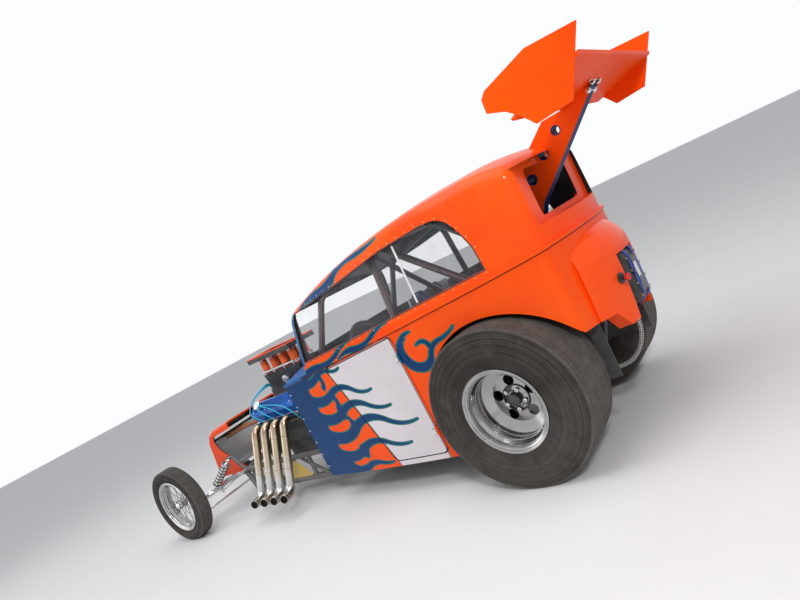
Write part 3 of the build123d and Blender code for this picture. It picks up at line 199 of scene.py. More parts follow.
def fill_mottle(graph: Graph, given: dict) -> dict:
    """Slow colour drift and fine speckle over a surface."""
    wide = graph.add("ShaderNodeTexNoise", {"Vector": given["Vector"], "Scale": given["Scale"], "Detail": 5.0,
                                            "Roughness": 0.62})
    small = graph.math("MULTIPLY", given["Scale"], 14.0)
    fine = graph.add("ShaderNodeTexNoise", {"Vector": given["Vector"], "Scale": small, "Detail": 3.0})
    return {"Drift": graph.step(wide, 0.32, 0.68), "Speckle": graph.step(fine, 0.3, 0.7)}


def fill_dust(graph: Graph, given: dict) -> dict:
    """Track dust that lies thicker low down and in patches."""
    height = graph.add("ShaderNodeSeparateXYZ", {0: given["Vector"]}, out=2)
    low = graph.math("SUBTRACT", 1.0, graph.step(height, 0.0, 0.75))
    patch = graph.add("ShaderNodeTexNoise", {"Vector": given["Vector"], "Scale": 9.0, "Detail": 8.0, "Roughness": 0.7})
    spots = graph.step(graph.math("ADD", patch, graph.math("MULTIPLY", low, 0.25)), 0.42, 0.86)
    return {"Mask": graph.math("MULTIPLY", spots, given["Amount"], clamp=True)}


def fill_brushed(graph: Graph, given: dict) -> dict:
    """Fine lines that run along X, as polishing and rolling leave them."""
    drawn = graph.vector("MULTIPLY", given["Vector"], (0.03, 1.0, 1.0))
    lines = graph.add("ShaderNodeTexNoise", {"Vector": drawn, "Scale": given["Scale"], "Detail": 4.0, "Roughness": 0.7})
    return {"Height": lines}


def fill_cast(graph: Graph, given: dict) -> dict:
    """Grainy skin of a casting, a moulding or a powder coat."""
    grain = graph.add("ShaderNodeTexNoise", {"Vector": given["Vector"], "Scale": given["Scale"], "Detail": 6.0,
                                             "Roughness": 0.8})
    wide = graph.math("MULTIPLY", given["Scale"], 0.5)
    pits = graph.add("ShaderNodeTexVoronoi", {"Vector": given["Vector"], "Scale": wide})
    return {"Height": graph.math("ADD", grain, graph.math("MULTIPLY", pits, 0.4))}


def fill_weave(graph: Graph, given: dict) -> dict:
    """Plain weave: threads that pass over and under each other."""
    place = graph.vector("SCALE", given["Vector"])
    graph.feed(place.node, {"Scale": given["Scale"]})
    part = graph.add("ShaderNodeSeparateXYZ", {0: place}).node
    across = graph.math("SINE", graph.math("MULTIPLY", graph.math("ADD", part.outputs[0], part.outputs[1]), math.tau))
    along = graph.math("SINE", graph.math("MULTIPLY", graph.math("ADD", part.outputs[2], part.outputs[1]), math.tau))
    over = graph.math("MULTIPLY", across, along)
    return {"Height": graph.math("MULTIPLY_ADD", over, 0.5, 0.5)}


def fill_arc(graph: Graph, given: dict) -> dict:
    """One tapered arc of a flame: below zero inside it, and a distance from its edge outside."""
    away = graph.vector("SUBTRACT", given["Place"], given["Centre"])
    far = graph.vector("LENGTH", away, out="Value")
    ahead = graph.vector("DOT_PRODUCT", away, given["Middle"], out="Value")
    beside = graph.vector("DOT_PRODUCT", away, given["Onward"], out="Value")
    angle = graph.math("ARCTAN2", beside, ahead)
    over = graph.math("MAXIMUM", graph.math("SUBTRACT", graph.math("ABSOLUTE", angle), given["Half Turn"]), 0.0)
    along = graph.math("MULTIPLY", over, given["Radius"])
    across = graph.math("SUBTRACT", far, given["Radius"])
    square = graph.math("MULTIPLY_ADD", along, along, graph.math("MULTIPLY", across, across))
    share = graph.math("DIVIDE", angle, given["Half Turn"])
    held = graph.math("MINIMUM", graph.math("MAXIMUM", share, -1.0), 1.0)
    half = graph.math("MULTIPLY_ADD", held, given["Growth"], given["Width"])
    return {"Field": graph.math("SUBTRACT", graph.math("SQRT", square), half)}


def fill_wheel(graph: Graph, given: dict) -> dict:
    """Distances from a wheel's axle and middle, fine rings round it and worn patches."""
    part = graph.add("ShaderNodeSeparateXYZ", {0: given["Vector"]}).node
    y = graph.math("SUBTRACT", part.outputs[1], given["Axle Y"])
    z = graph.math("SUBTRACT", part.outputs[2], given["Axle Z"])
    radius = graph.math("SQRT", graph.math("ADD", graph.math("MULTIPLY", y, y), graph.math("MULTIPLY", z, z)))
    across = graph.math("ABSOLUTE", graph.math("SUBTRACT", graph.math("ABSOLUTE", part.outputs[0]), given["Middle X"]))
    turned = graph.add("ShaderNodeCombineXYZ", {0: radius, 1: across})
    rings = graph.add("ShaderNodeTexNoise", {"Vector": turned, "Scale": 130.0, "Detail": 5.0, "Roughness": 0.7})
    scuff = graph.add("ShaderNodeTexNoise", {"Vector": given["Vector"], "Scale": 22.0, "Detail": 10.0,
                                             "Roughness": 0.78})
    return {"Radius": radius, "Across": across, "Rings": graph.step(rings, 0.42, 0.62),
            "Scuff": graph.step(scuff, 0.30, 0.72)}


class Effects:
    """The shared shader groups, each built once."""

    def __init__(self) -> None:
        """Builds every group."""
        vector = ("Vector", "Vector", None)
        scaled = [vector, ("Scale", "Float", 10.0)]
        height = [("Height", "Float")]
        arc = [("Place", "Vector", None), ("Centre", "Vector", None), ("Middle", "Vector", None),
               ("Onward", "Vector", None), ("Radius", "Float", 0.2), ("Half Turn", "Float", 0.5),
               ("Width", "Float", 0.02), ("Growth", "Float", 0.0)]
        self.mottle = shader_group("mottle", scaled, [("Drift", "Float"), ("Speckle", "Float")], fill_mottle)
        self.dust = shader_group("track_dust", [vector, ("Amount", "Float", 0.3)], [("Mask", "Float")], fill_dust)
        self.brushed = shader_group("brushed_lines", scaled, height, fill_brushed)
        self.cast = shader_group("cast_skin", scaled, height, fill_cast)
        self.weave = shader_group("plain_weave", scaled, height, fill_weave)
        self.arc = shader_group("flame_arc", arc, [("Field", "Float")], fill_arc)
        wheel = [vector, ("Axle Y", "Float", 0.0), ("Axle Z", "Float", 0.3), ("Middle X", "Float", 0.5)]
        measured = [("Radius", "Float"), ("Across", "Float"), ("Rings", "Float"), ("Scuff", "Float")]
        self.wheel = shader_group("wheel_place", wheel, measured, fill_wheel)


DUST_ROUGH = 0.35
# Near-black painted shade for the inner faces of hollow pieces.
INNER_PAINTED_SHADE: Colour = (0.022, 0.021, 0.021)


class Grain(Enum):
    """How the skin of a finish is textured."""

    SMOOTH = "smooth"
    BRUSHED = "brushed"
    CAST = "cast"
    WEAVE = "weave"


@dataclass(frozen=True)
class Finish:
    """One finish: its colours, its shine and its grain."""

    name: str
    colour: Colour
    shade: Colour
    rough: float
    metal: float = 0.0
    coat: float = 0.0
    coat_rough: float = 0.04
    sheen: float = 0.0
    rough_spread: float = 0.08
    mottle: float = 6.0
    grain: Grain = Grain.SMOOTH
    grain_scale: float = 200.0
    grain_depth: float = 0.0002
    dust: float = 0.15
    dust_colour: Colour = (0.30, 0.27, 0.24)
    # Middle of a hollow piece; its inner faces get a near-black painted shade.
    heart: Optional[Colour] = None
    gloss: float = 0.5

    def build(self, effects: Effects) -> Material:
        """Builds the material.

        Args:
            effects: The shared groups.

        Returns:
            The material.
        """
        material, graph, shader, place = new_material(self.name)
        material.diffuse_color = (*self.colour, 1.0)
        mottle = graph.group(effects.mottle, {"Vector": place, "Scale": self.mottle})
        base = self.base_colour(graph, effects, place, mottle.outputs["Drift"])
        # Painted shade: the inner faces of hollow pieces turn near black.
        if self.heart is not None:
            base = self.paint_inner_shade(graph, place, base)
        dust = graph.group(effects.dust, {"Vector": place, "Amount": self.dust}).outputs["Mask"]
        worn = graph.math("MULTIPLY_ADD", mottle.outputs["Speckle"], self.rough_spread, self.rough)
        graph.feed(shader, {
            "Base Color": graph.mix(dust, base, self.dust_colour),
            "Roughness": graph.math("MULTIPLY_ADD", dust, DUST_ROUGH, worn, clamp=True), "Metallic": self.metal,
            "Specular IOR Level": self.gloss, "Coat Weight": self.coat, "Coat Roughness": self.coat_rough,
            "Sheen Weight": self.sheen})
        self.add_grain(graph, effects, place, mottle.outputs["Speckle"], shader)
        return material

    def paint_inner_shade(self, graph: Graph, place: Socket, base: Socket) -> Socket:
        """Darkens the faces that look towards the heart of a hollow piece: a near-black painted shade for the shade
        inside the shell.
        """
        normal = graph.add("ShaderNodeTexCoord", out="Normal")
        away = graph.vector("SUBTRACT", place, self.heart)
        facing = graph.vector("DOT_PRODUCT", away, normal, out="Value")
        return graph.mix(graph.step(facing, -0.02, 0.0), INNER_PAINTED_SHADE, base)

    def base_colour(self, graph: Graph, effects: Effects, place: Socket, drift: Socket) -> Socket:
        """Gives the colour before dust, drifting between the two shades."""
        return graph.mix(drift, self.colour, self.shade)

    def add_grain(self, graph: Graph, effects: Effects, place: Socket, speckle: Socket, shader: bpy.types.Node) -> None:
        """Feeds the grain into the shader's normal."""
        height = speckle
        if self.grain is not Grain.SMOOTH:
            group = {Grain.BRUSHED: effects.brushed, Grain.CAST: effects.cast, Grain.WEAVE: effects.weave}[self.grain]
            height = graph.group(group, {"Vector": place, "Scale": self.grain_scale}).outputs["Height"]
        graph.bump(shader, height, self.grain_depth, 0.6)


ORANGE: Colour = (0.97, 0.092, 0.001)
ORANGE_DEEP: Colour = (0.92, 0.064, 0.001)
NAVY: Colour = (0.001, 0.037, 0.135)
TEAL: Colour = (0.002, 0.20, 0.165)
LIP_BLUE: Colour = (0.008, 0.12, 0.36)
PANEL_WHITE: Colour = (0.72, 0.67, 0.70)
EDGE_BLACK: Colour = (0.012, 0.011, 0.012)
ORANGE_SHADOW: Colour = (0.16, 0.016, 0.002)
EDGE = 0.001
BLUE_BACK_Y = -1.325
LIP_BACK_Y = -1.318
PANEL_FRONT_Y = -1.085
PANEL_BACK_Y = -0.512
PANEL_FOOT_Z = 0.150
POST_Z = 1.055
POST_HALF = 0.165
ROOF_EDGE_X = 0.46
ROOF_UNROLL = 1.2


@dataclass(frozen=True)
class Stroke:
    """One brush stroke of flame, as joined arcs, in metres behind the rear axle and above the ground."""

    y: float
    z: float
    heading: float
    widths: tuple[float, ...]
    arcs: tuple[tuple[float, float], ...]

    def parts(self) -> Iterator[dict]:
        """Gives the inputs of the arc group for each arc in turn."""
        place = Vector((self.y, self.z, 0.0))
        heading = math.radians(self.heading)
        for (turn, radius), first, last in zip(self.arcs, self.widths, self.widths[1:]):
            sweep = math.radians(turn)
            side = math.copysign(math.pi / 2.0, sweep)
            centre = place + radius * Vector((math.cos(heading + side), math.sin(heading + side), 0.0))
            middle = heading + sweep / 2.0 - side
            onward = middle + side
            yield {"Centre": centre, "Middle": (math.cos(middle), math.sin(middle), 0.0),
                   "Onward": (math.cos(onward), math.sin(onward), 0.0), "Radius": radius,
                   "Half Turn": abs(sweep) / 2.0, "Width": (first + last) / 2.0, "Growth": (last - first) / 2.0}
            heading += sweep
            place = centre + radius * Vector((math.cos(heading - side), math.sin(heading - side), 0.0))


SIDE_STROKES = (
    Stroke(-1.37, 0.800, -24, (0.030, 0.015, 0.005, 0.001), ((54, 0.20), (-52, 0.15), (44, 0.12))),
    Stroke(-1.37, 0.690, -32, (0.036, 0.018, 0.008, 0.001), ((62, 0.23), (-66, 0.17), (50, 0.17))),
    Stroke(-1.37, 0.572, -34, (0.038, 0.020, 0.009, 0.001), ((66, 0.24), (-64, 0.20), (42, 0.24))),
    Stroke(-1.37, 0.446, -32, (0.042, 0.024, 0.011, 0.001), ((66, 0.27), (-66, 0.24), (46, 0.28))),
    Stroke(-1.35, 0.310, -30, (0.038, 0.020, 0.009, 0.001), ((62, 0.24), (-58, 0.22), (36, 0.28))),
    Stroke(-1.30, 0.195, -20, (0.030, 0.015, 0.007, 0.001), ((44, 0.22), (-40, 0.18), (26, 0.20))),
    Stroke(-1.175, 0.735, 40, (0.013, 0.009, 0.001), ((70, 0.050), (100, 0.022))),
    Stroke(-1.140, 0.590, 44, (0.015, 0.010, 0.001), ((66, 0.056), (104, 0.024))),
    Stroke(-1.110, 0.445, 40, (0.015, 0.010, 0.001), ((74, 0.054), (96, 0.026))),
    Stroke(-1.110, 0.270, 42, (0.013, 0.009, 0.001), ((70, 0.046), (100, 0.020))),
)
SILL_STROKES = (
    Stroke(-1.30, 0.822, 26, (0.022, 0.015, 0.008, 0.001), ((-30, 0.36), (32, 0.34), (-22, 0.40))),
    Stroke(-0.92, 0.866, 28, (0.002, 0.013, 0.008, 0.001), ((-38, 0.20), (38, 0.24), (-22, 0.40))),
)
REAR_STROKES = (
    Stroke(-0.372, 0.868, 176, (0.001, 0.013, 0.025, 0.021, 0.011, 0.006, 0.001),
           ((60, 0.100), (66, 0.100), (58, 0.088), (64, 0.082), (-58, 0.110), (28, 0.240))),
    Stroke(-0.300, 0.770, 96, (0.011, 0.006, 0.001), ((80, 0.036), (36, 0.070))),
    Stroke(-0.486, 0.790, 96, (0.013, 0.007, 0.001), ((-70, 0.044), (-36, 0.060))),
)
ROOF_STROKES = (
    Stroke(-1.10, 1.190, 40, (0.004, 0.022, 0.019, 0.011, 0.001), ((-46, 0.22), (38, 0.30), (-34, 0.32), (18, 0.66))),
    Stroke(-0.760, 1.262, 4, (0.011, 0.008, 0.001), ((86, 0.050), (120, 0.022))),
    Stroke(-0.930, 1.222, 6, (0.013, 0.007, 0.001), ((-24, 0.20), (40, 0.24))),
)


@dataclass(frozen=True)
class FlamedPaint(Finish):
    """Body paint with the blue front, the bare pale door panel and the flames between them."""

    def base_colour(self, graph: Graph, effects: Effects, place: Socket, drift: Socket) -> Socket:
        """Lays the orange, the pale panel, the blue front and the flames over each other."""
        orange = graph.mix(drift, self.colour, self.shade)
        part = graph.add("ShaderNodeSeparateXYZ", {0: place}).node
        y = graph.math("SUBTRACT", part.outputs[1], REAR_AXLE_Y)
        z = part.outputs[2]
        flat = graph.add("ShaderNodeCombineXYZ", {0: y, 1: z})
        swage = graph.math("SUBTRACT", z, graph.math("MULTIPLY_ADD", y, SWAGE_RISE, SWAGE_Z - SWAGE_DROP))
        panel = self.panel_field(graph, y, z, swage)
        pale = graph.mix(drift, PANEL_WHITE, tuple(0.9 * c for c in PANEL_WHITE))
        colour = graph.mix(graph.step(panel, -EDGE, EDGE), pale, orange)
        rim = graph.math("ABSOLUTE", graph.math("ADD", panel, 0.004))
        colour = graph.mix(graph.step(rim, 0.002, 0.004), EDGE_BLACK, colour)
        slant = graph.math("MULTIPLY_ADD", graph.math("MAXIMUM", graph.math("SUBTRACT", 0.30, z), 0.0), -0.9, y)
        front = graph.math("ADD", slant, -BLUE_BACK_Y)
        under = graph.math("MAXIMUM", front, swage)
        field = graph.math("MAXIMUM", self.flames(graph, effects, flat, SIDE_STROKES, under, 0.030), swage)
        inward = graph.math("SUBTRACT", ROOF_EDGE_X, graph.math("ABSOLUTE", part.outputs[0]))
        inward = graph.math("MULTIPLY", graph.math("MAXIMUM", inward, 0.0), ROOF_UNROLL)
        high = graph.math("MULTIPLY", inward, graph.step(z, 1.05, 1.15))
        bent = graph.add("ShaderNodeCombineXYZ", {0: y, 1: graph.math("ADD", z, high)})
        for place_on, strokes in ((flat, SILL_STROKES), (flat, REAR_STROKES), (bent, ROOF_STROKES)):
            field = graph.math("MINIMUM", field, self.flames(graph, effects, place_on, strokes, None, 0.008))
        navy = graph.mix(drift, NAVY, tuple(1.25 * c for c in NAVY))
        colour = graph.mix(graph.step(field, 0.0078, 0.0092), EDGE_BLACK, colour)
        colour = graph.mix(graph.step(field, 0.0062, 0.0074), TEAL, colour)
        colour = graph.mix(graph.step(field, 0.0008, 0.0022), navy, colour)
        lip = graph.math("MAXIMUM", graph.math("MULTIPLY", swage, -1.0), graph.math("ADD", y, -LIP_BACK_Y))
        colour = graph.mix(graph.step(lip, -EDGE, EDGE), LIP_BLUE, colour)
        post = graph.math("ADD", y, graph.math("MULTIPLY_ADD", z, -0.214, 1.425))
        tall = graph.math("SUBTRACT", graph.math("ABSOLUTE", graph.math("SUBTRACT", z, POST_Z)), POST_HALF)
        post = graph.math("MAXIMUM", post, tall)
        colour = graph.mix(graph.step(post, -EDGE, EDGE), LIP_BLUE, colour)
        shadow = graph.math("ABSOLUTE", graph.math("SUBTRACT", swage, SWAGE_SHADOW))
        return graph.mix(graph.step(shadow, 0.0018, 0.0040), ORANGE_SHADOW, colour)

    def panel_field(self, graph: Graph, y: Socket, z: Socket, swage: Socket) -> Socket:
        """Below zero on the pale panel of the door."""
        drop = graph.math("SUBTRACT", 0.84, z)
        ahead = graph.math("SUBTRACT", graph.math("MULTIPLY_ADD", drop, 0.30, PANEL_FRONT_Y), y)
        behind = graph.math("ADD", y, -PANEL_BACK_Y)
        above = graph.math("ADD", swage, 0.004)
        below = graph.math("SUBTRACT", PANEL_FOOT_Z, z)
        return graph.math("MAXIMUM", graph.math("MAXIMUM", ahead, behind), graph.math("MAXIMUM", above, below))

    def flames(self, graph: Graph, effects: Effects, flat: Socket, strokes: Sequence[Stroke],
               start: Optional[Socket], blend: float) -> Socket:
        """Joins strokes into one field with rounded valleys.

        Args:
            graph: The material's graph.
            effects: The shared groups.
            flat: The place on the side, as distance behind the rear axle and height.
            strokes: The strokes to draw.
            start: A field that the strokes grow out of, if any.
            blend: How far strokes run into each other.

        Returns:
            The field, below zero inside the flames.
        """
        field = start
        for stroke in strokes:
            drawn = None
            for values in stroke.parts():
                arc = graph.group(effects.arc, {"Place": flat, **values}).outputs["Field"]
                drawn = arc if drawn is None else graph.math("MINIMUM", drawn, arc)
            field = drawn if field is None else graph.math("SMOOTH_MIN", field, drawn, blend)
        return field


@dataclass(frozen=True)
class ClearSheet(Finish):
    """Clear polycarbonate sheet with faint scuffs."""

    def build(self, effects: Effects) -> Material:
        """Builds the clear material: a thin sheet that lets most of the light through."""
        material, graph, shader, place = new_material(self.name)
        mottle = graph.group(effects.mottle, {"Vector": place, "Scale": self.mottle})
        graph.feed(shader, {"Base Color": (*self.colour, 1.0),
                            "Roughness": graph.math("MULTIPLY_ADD", mottle.outputs["Speckle"], 0.05, self.rough),
                            "Alpha": graph.math("MULTIPLY_ADD", mottle.outputs["Drift"], 0.05, 0.05)})
        material.surface_render_method = "BLENDED"
        return material


PYLON_HALF = 0.0342
PYLON_HOLES = ((0.526, 1.418, 0.019), (0.426, 1.346, 0.022), (0.324, 1.263, 0.022), (0.222, 1.120, 0.022))


@dataclass(frozen=True)
class PylonPaint(Finish):
    """The wing pylon's paint: orange sides, navy edges and navy rims round its holes."""

    def base_colour(self, graph: Graph, effects: Effects, place: Socket, drift: Socket) -> Socket:
        """Paints the edges and the rings round the holes navy."""
        part = graph.add("ShaderNodeSeparateXYZ", {0: place}).node
        flat = graph.add("ShaderNodeCombineXYZ", {0: part.outputs[1], 1: part.outputs[2]})
        beside = graph.math("ABSOLUTE", part.outputs[0])
        edge = graph.math("SUBTRACT", 1.0, graph.step(beside, PYLON_HALF - 0.0004, PYLON_HALF + 0.0004))
        for y, z, radius in PYLON_HOLES:
            far = graph.vector("DISTANCE", flat, (y + REAR_AXLE_Y, z, 0.0), out="Value")
            ring = graph.math("SUBTRACT", 1.0, graph.step(far, radius + 0.0045, radius + 0.0055))
            edge = graph.math("MAXIMUM", edge, ring)
        return graph.mix(edge, graph.mix(drift, self.colour, self.shade), NAVY)


@dataclass(frozen=True)
class PipeSteel(Finish):
    """Header steel with straw and brown heat colours that fade down the pipes."""

    def base_colour(self, graph: Graph, effects: Effects, place: Socket, drift: Socket) -> Socket:
        """Tints the steel by height, broken up by the slow drift."""
        height = graph.add("ShaderNodeSeparateXYZ", {0: place}, out=2)
        wander = graph.math("MULTIPLY_ADD", drift, 0.10, height)
        steel = graph.mix(drift, self.colour, self.shade)
        straw = graph.mix(graph.step(wander, 0.26, 0.50), steel, (0.54, 0.44, 0.31))
        brown = graph.mix(graph.step(wander, 0.54, 0.70), straw, (0.36, 0.25, 0.18))
        return graph.mix(graph.step(wander, 0.24, 0.15), brown, (0.42, 0.36, 0.30))


TREAD_BLEND = 0.012


@dataclass(frozen=True)
class WheelRubber(Finish):
    """Tyre rubber: a scrubbed paler tread with grooves, and walls with rings that follow the wheel round."""

    axle_y: float = 0.0
    axle_z: float = REAR_TYRE_R
    tread_r: float = 0.39
    middle_x: float = 0.5
    grooves: tuple[float, ...] = ()

    def wheel_place(self, graph: Graph, effects: Effects, place: Socket) -> bpy.types.Node:
        """Adds the group that measures from the axle."""
        return graph.group(effects.wheel, {"Vector": place, "Axle Y": self.axle_y + REAR_AXLE_Y, "Axle Z": self.axle_z,
                                           "Middle X": self.middle_x})

    def groove_mask(self, graph: Graph, across: Socket) -> Socket:
        """Gives 1 in the grooves round the tread."""
        mask = None
        for middle in self.grooves:
            near = graph.math("ABSOLUTE", graph.math("SUBTRACT", across, middle))
            one = graph.math("SUBTRACT", 1.0, graph.step(near, 0.0012, 0.0022))
            mask = one if mask is None else graph.math("MAXIMUM", mask, one)
        return mask

    def base_colour(self, graph: Graph, effects: Effects, place: Socket, drift: Socket) -> Socket:
        """Lays the worn tread and the grooves over the walls."""
        node = self.wheel_place(graph, effects, place)
        wall = graph.mix(drift, self.colour, self.shade)
        wall = graph.mix(graph.math("MULTIPLY", node.outputs["Rings"], 0.55), wall, (0.075, 0.062, 0.052))
        tread = graph.step(node.outputs["Radius"], self.tread_r - TREAD_BLEND, self.tread_r)
        worn = graph.mix(node.outputs["Scuff"], (0.060, 0.054, 0.050), (0.105, 0.093, 0.085))
        colour = graph.mix(tread, wall, worn)
        grooves = graph.math("MULTIPLY", self.groove_mask(graph, node.outputs["Across"]), tread)
        return graph.mix(grooves, colour, (0.010, 0.010, 0.010))

    def add_grain(self, graph: Graph, effects: Effects, place: Socket, speckle: Socket, shader: bpy.types.Node) -> None:
        """Feeds the rubber's grain, the fine rings and the grooves into the normal."""
        node = self.wheel_place(graph, effects, place)
        tread = graph.step(node.outputs["Radius"], self.tread_r - TREAD_BLEND, self.tread_r)
        cut = graph.math("MULTIPLY", self.groove_mask(graph, node.outputs["Across"]), tread)
        rough = graph.math("MULTIPLY", node.outputs["Scuff"], graph.math("MULTIPLY_ADD", tread, 0.5, 0.15))
        ringed = graph.math("ADD", rough, graph.math("MULTIPLY", node.outputs["Rings"], 0.3))
        graph.bump(shader, graph.math("SUBTRACT", ringed, cut), 0.0022, 0.7)


BRAID_PITCH = 260.0
BRAID_STRANDS = 4.0


@dataclass(frozen=True)
class CordBraid(Finish):
    """Braided cord in two colours, drawn on each tube's own lay."""

    def base_colour(self, graph: Graph, effects: Effects, place: Socket, drift: Socket) -> Socket:
        """Checks the two colours where strands cross."""
        over = self.strands(graph)
        return graph.mix(graph.step(over, -0.10, 0.10), self.shade, self.colour)

    def strands(self, graph: Graph) -> Socket:
        """Gives the crossing strands' height from the tube's own lay."""
        lay = graph.add("ShaderNodeAttribute", out="Vector", attribute_name="lay")
        part = graph.add("ShaderNodeSeparateXYZ", {0: lay}).node
        turn = graph.math("ARCTAN2", part.outputs[1], part.outputs[0])
        run = graph.math("MULTIPLY", part.outputs[2], BRAID_PITCH)
        left = graph.math("SINE", graph.math("MULTIPLY_ADD", turn, BRAID_STRANDS, run))
        right = graph.math("SINE", graph.math("SUBTRACT", graph.math("MULTIPLY", turn, BRAID_STRANDS), run))
        return graph.math("MULTIPLY", left, right)

    def add_grain(self, graph: Graph, effects: Effects, place: Socket, speckle: Socket, shader: bpy.types.Node) -> None:
        """Feeds the strands into the normal."""
        graph.bump(shader, graph.math("ABSOLUTE", self.strands(graph)), 0.0010, 0.8)


PAINT = {"colour": ORANGE, "shade": ORANGE_DEEP, "mottle": 2.0, "rough_spread": 0.04, "grain_depth": 0.00004}
PANEL_PAINT = {**PAINT, "rough": 0.34, "coat_rough": 0.03}
WING_PAINT = {**PAINT, "rough": 0.40, "coat": 0.06, "coat_rough": 0.05, "dust": 0.02}
FINISHES = {
    "body": FlamedPaint("flamed_body_paint", coat=0.18, dust=0.025, gloss=0.10, heart=(0.0, 0.55, 0.80), **PANEL_PAINT),
    "orange": Finish("orange_paint", coat=0.25, dust=0.04, gloss=0.14, **PANEL_PAINT),
    "nose": Finish("nose_paint", coat=0.25, dust=0.06, gloss=0.14, heart=(0.0, -1.62, 0.44), **PANEL_PAINT),
    "wing": Finish("wing_paint", gloss=0.08, **WING_PAINT),
    "pylon": PylonPaint("pylon_paint", gloss=0.06, **WING_PAINT),
    "engine_blue": Finish("engine_blue_enamel", (0.001, 0.105, 0.46), (0.001, 0.075, 0.36), 0.32, coat=0.25, dust=0.03,
                          gloss=0.15),
    "chrome": Finish("chrome_plate", (0.86, 0.87, 0.88), (0.80, 0.81, 0.83), 0.05, metal=1.0, rough_spread=0.05,
                     grain=Grain.BRUSHED, grain_scale=500.0, grain_depth=0.00002, dust=0.10),
    "alloy": Finish("bare_alloy_sheet", (0.62, 0.63, 0.65), (0.50, 0.51, 0.53), 0.30, metal=1.0, grain=Grain.BRUSHED,
                    grain_scale=700.0, grain_depth=0.00006, dust=0.22),
    "polished": Finish("polished_rim_alloy", (0.46, 0.455, 0.45), (0.34, 0.335, 0.33), 0.13, metal=1.0,
                       rough_spread=0.06, mottle=3.0, grain_depth=0.00001, dust=0.07),
    "iron": Finish("painted_iron", (0.045, 0.045, 0.048), (0.025, 0.025, 0.028), 0.5, grain=Grain.CAST,
                   grain_scale=260.0, grain_depth=0.0006, dust=0.30),
    "black": Finish("satin_black", (0.020, 0.020, 0.023), (0.012, 0.012, 0.014), 0.36, coat=0.2, dust=0.18,
                    grain=Grain.CAST, grain_scale=500.0, grain_depth=0.00012),
    "frame": Finish("frame_grey", (0.085, 0.085, 0.092), (0.05, 0.05, 0.055), 0.34, coat=0.4, dust=0.30,
                    grain=Grain.CAST, grain_scale=400.0, grain_depth=0.00010),
    "panels": Finish("dark_inner_sheet", (0.048, 0.048, 0.052), (0.030, 0.030, 0.034), 0.42, dust=0.22,
                     grain=Grain.CAST, grain_scale=360.0, grain_depth=0.00012),
    "cage": Finish("cage_maroon", (0.075, 0.012, 0.010), (0.045, 0.008, 0.008), 0.28, coat=0.6, dust=0.10),
    "yellow": Finish("gusset_yellow", (0.72, 0.48, 0.02), (0.60, 0.38, 0.02), 0.34, coat=0.5, dust=0.22),
    "hose": Finish("orange_silicone", (0.90, 0.13, 0.01), (0.75, 0.09, 0.01), 0.42, grain=Grain.WEAVE,
                   grain_scale=260.0, grain_depth=0.00025, dust=0.06),
    "fabric": Finish("pack_fabric", (0.018, 0.018, 0.020), (0.030, 0.029, 0.030), 0.82, sheen=0.35,
                     grain=Grain.WEAVE, grain_scale=420.0, grain_depth=0.0006, dust=0.25),
    "seat": Finish("seat_cover", (0.020, 0.021, 0.026), (0.012, 0.012, 0.015), 0.75, sheen=0.30,
                   grain=Grain.WEAVE, grain_scale=380.0, grain_depth=0.0005, dust=0.08),
    "white": Finish("white_vinyl", (0.74, 0.74, 0.75), (0.66, 0.66, 0.68), 0.35, dust=0.12),
    "red": Finish("red_plastic", (0.62, 0.010, 0.010), (0.50, 0.008, 0.008), 0.32, coat=0.4, dust=0.08),
    "brass": Finish("brass_screws", (0.62, 0.42, 0.16), (0.50, 0.33, 0.12), 0.28, metal=1.0, dust=0.15),
    "cyan": Finish("cyan_silicone", (0.010, 0.42, 0.62), (0.008, 0.34, 0.52), 0.38, dust=0.06),
    "weld": Finish("heated_weld", (0.42, 0.30, 0.18), (0.24, 0.18, 0.20), 0.34, metal=1.0, grain=Grain.CAST,
                   grain_scale=900.0, grain_depth=0.0002, dust=0.10),
    "soot": Finish("pipe_soot", (0.010, 0.009, 0.008), (0.020, 0.017, 0.015), 0.90, grain=Grain.CAST, dust=0.0),
    "spring": Finish("spring_enamel", (0.030, 0.030, 0.033), (0.020, 0.020, 0.022), 0.32, coat=0.6, dust=0.22),
    "copper_hose": Finish("copper_hose", (0.36, 0.13, 0.045), (0.26, 0.09, 0.030), 0.46, coat=0.2, dust=0.20),
    "braid_steel": Finish("steel_braid", (0.50, 0.51, 0.52), (0.36, 0.37, 0.38), 0.38, metal=1.0, grain=Grain.WEAVE,
                          grain_scale=900.0, grain_depth=0.0004, dust=0.12),
    "belt_blue": Finish("belt_webbing", (0.012, 0.060, 0.30), (0.010, 0.045, 0.24), 0.70, sheen=0.25, grain=Grain.WEAVE,
                        grain_scale=420.0, grain_depth=0.0005, dust=0.06),
    "pipes": PipeSteel("heated_pipe_steel", (0.66, 0.65, 0.63), (0.56, 0.55, 0.53), 0.15, metal=1.0, rough_spread=0.10,
                       grain=Grain.BRUSHED, grain_scale=420.0, grain_depth=0.00005, dust=0.10),
    "slick": WheelRubber("slick_rubber", (0.024, 0.021, 0.019), (0.016, 0.014, 0.013), 0.74, rough_spread=0.12,
                         grain=Grain.CAST, grain_scale=220.0, grain_depth=0.0006, dust=0.14, gloss=0.20, axle_y=0.0,
                         axle_z=REAR_TYRE_R, tread_r=0.3905, middle_x=REAR_WHEEL_X, grooves=(0.100, 0.128)),
    "ribbed_tyre": WheelRubber("ribbed_rubber", (0.022, 0.020, 0.019), (0.015, 0.014, 0.014), 0.70, rough_spread=0.12,
                               grain=Grain.CAST, grain_scale=320.0, grain_depth=0.0004, dust=0.13, gloss=0.20,
                               axle_y=FRONT_AXLE_Y, axle_z=FRONT_TYRE_R, tread_r=0.2835, middle_x=FRONT_WHEEL_X,
                               grooves=(0.0075, 0.0225, 0.0375)),
    "braid": CordBraid("tether_braid", (0.60, 0.60, 0.58), (0.018, 0.018, 0.020), 0.80, dust=0.20),
    "clear": ClearSheet("clear_polycarbonate", (0.30, 0.33, 0.36), (0.9, 0.9, 0.9), 0.03, mottle=5.0),
}


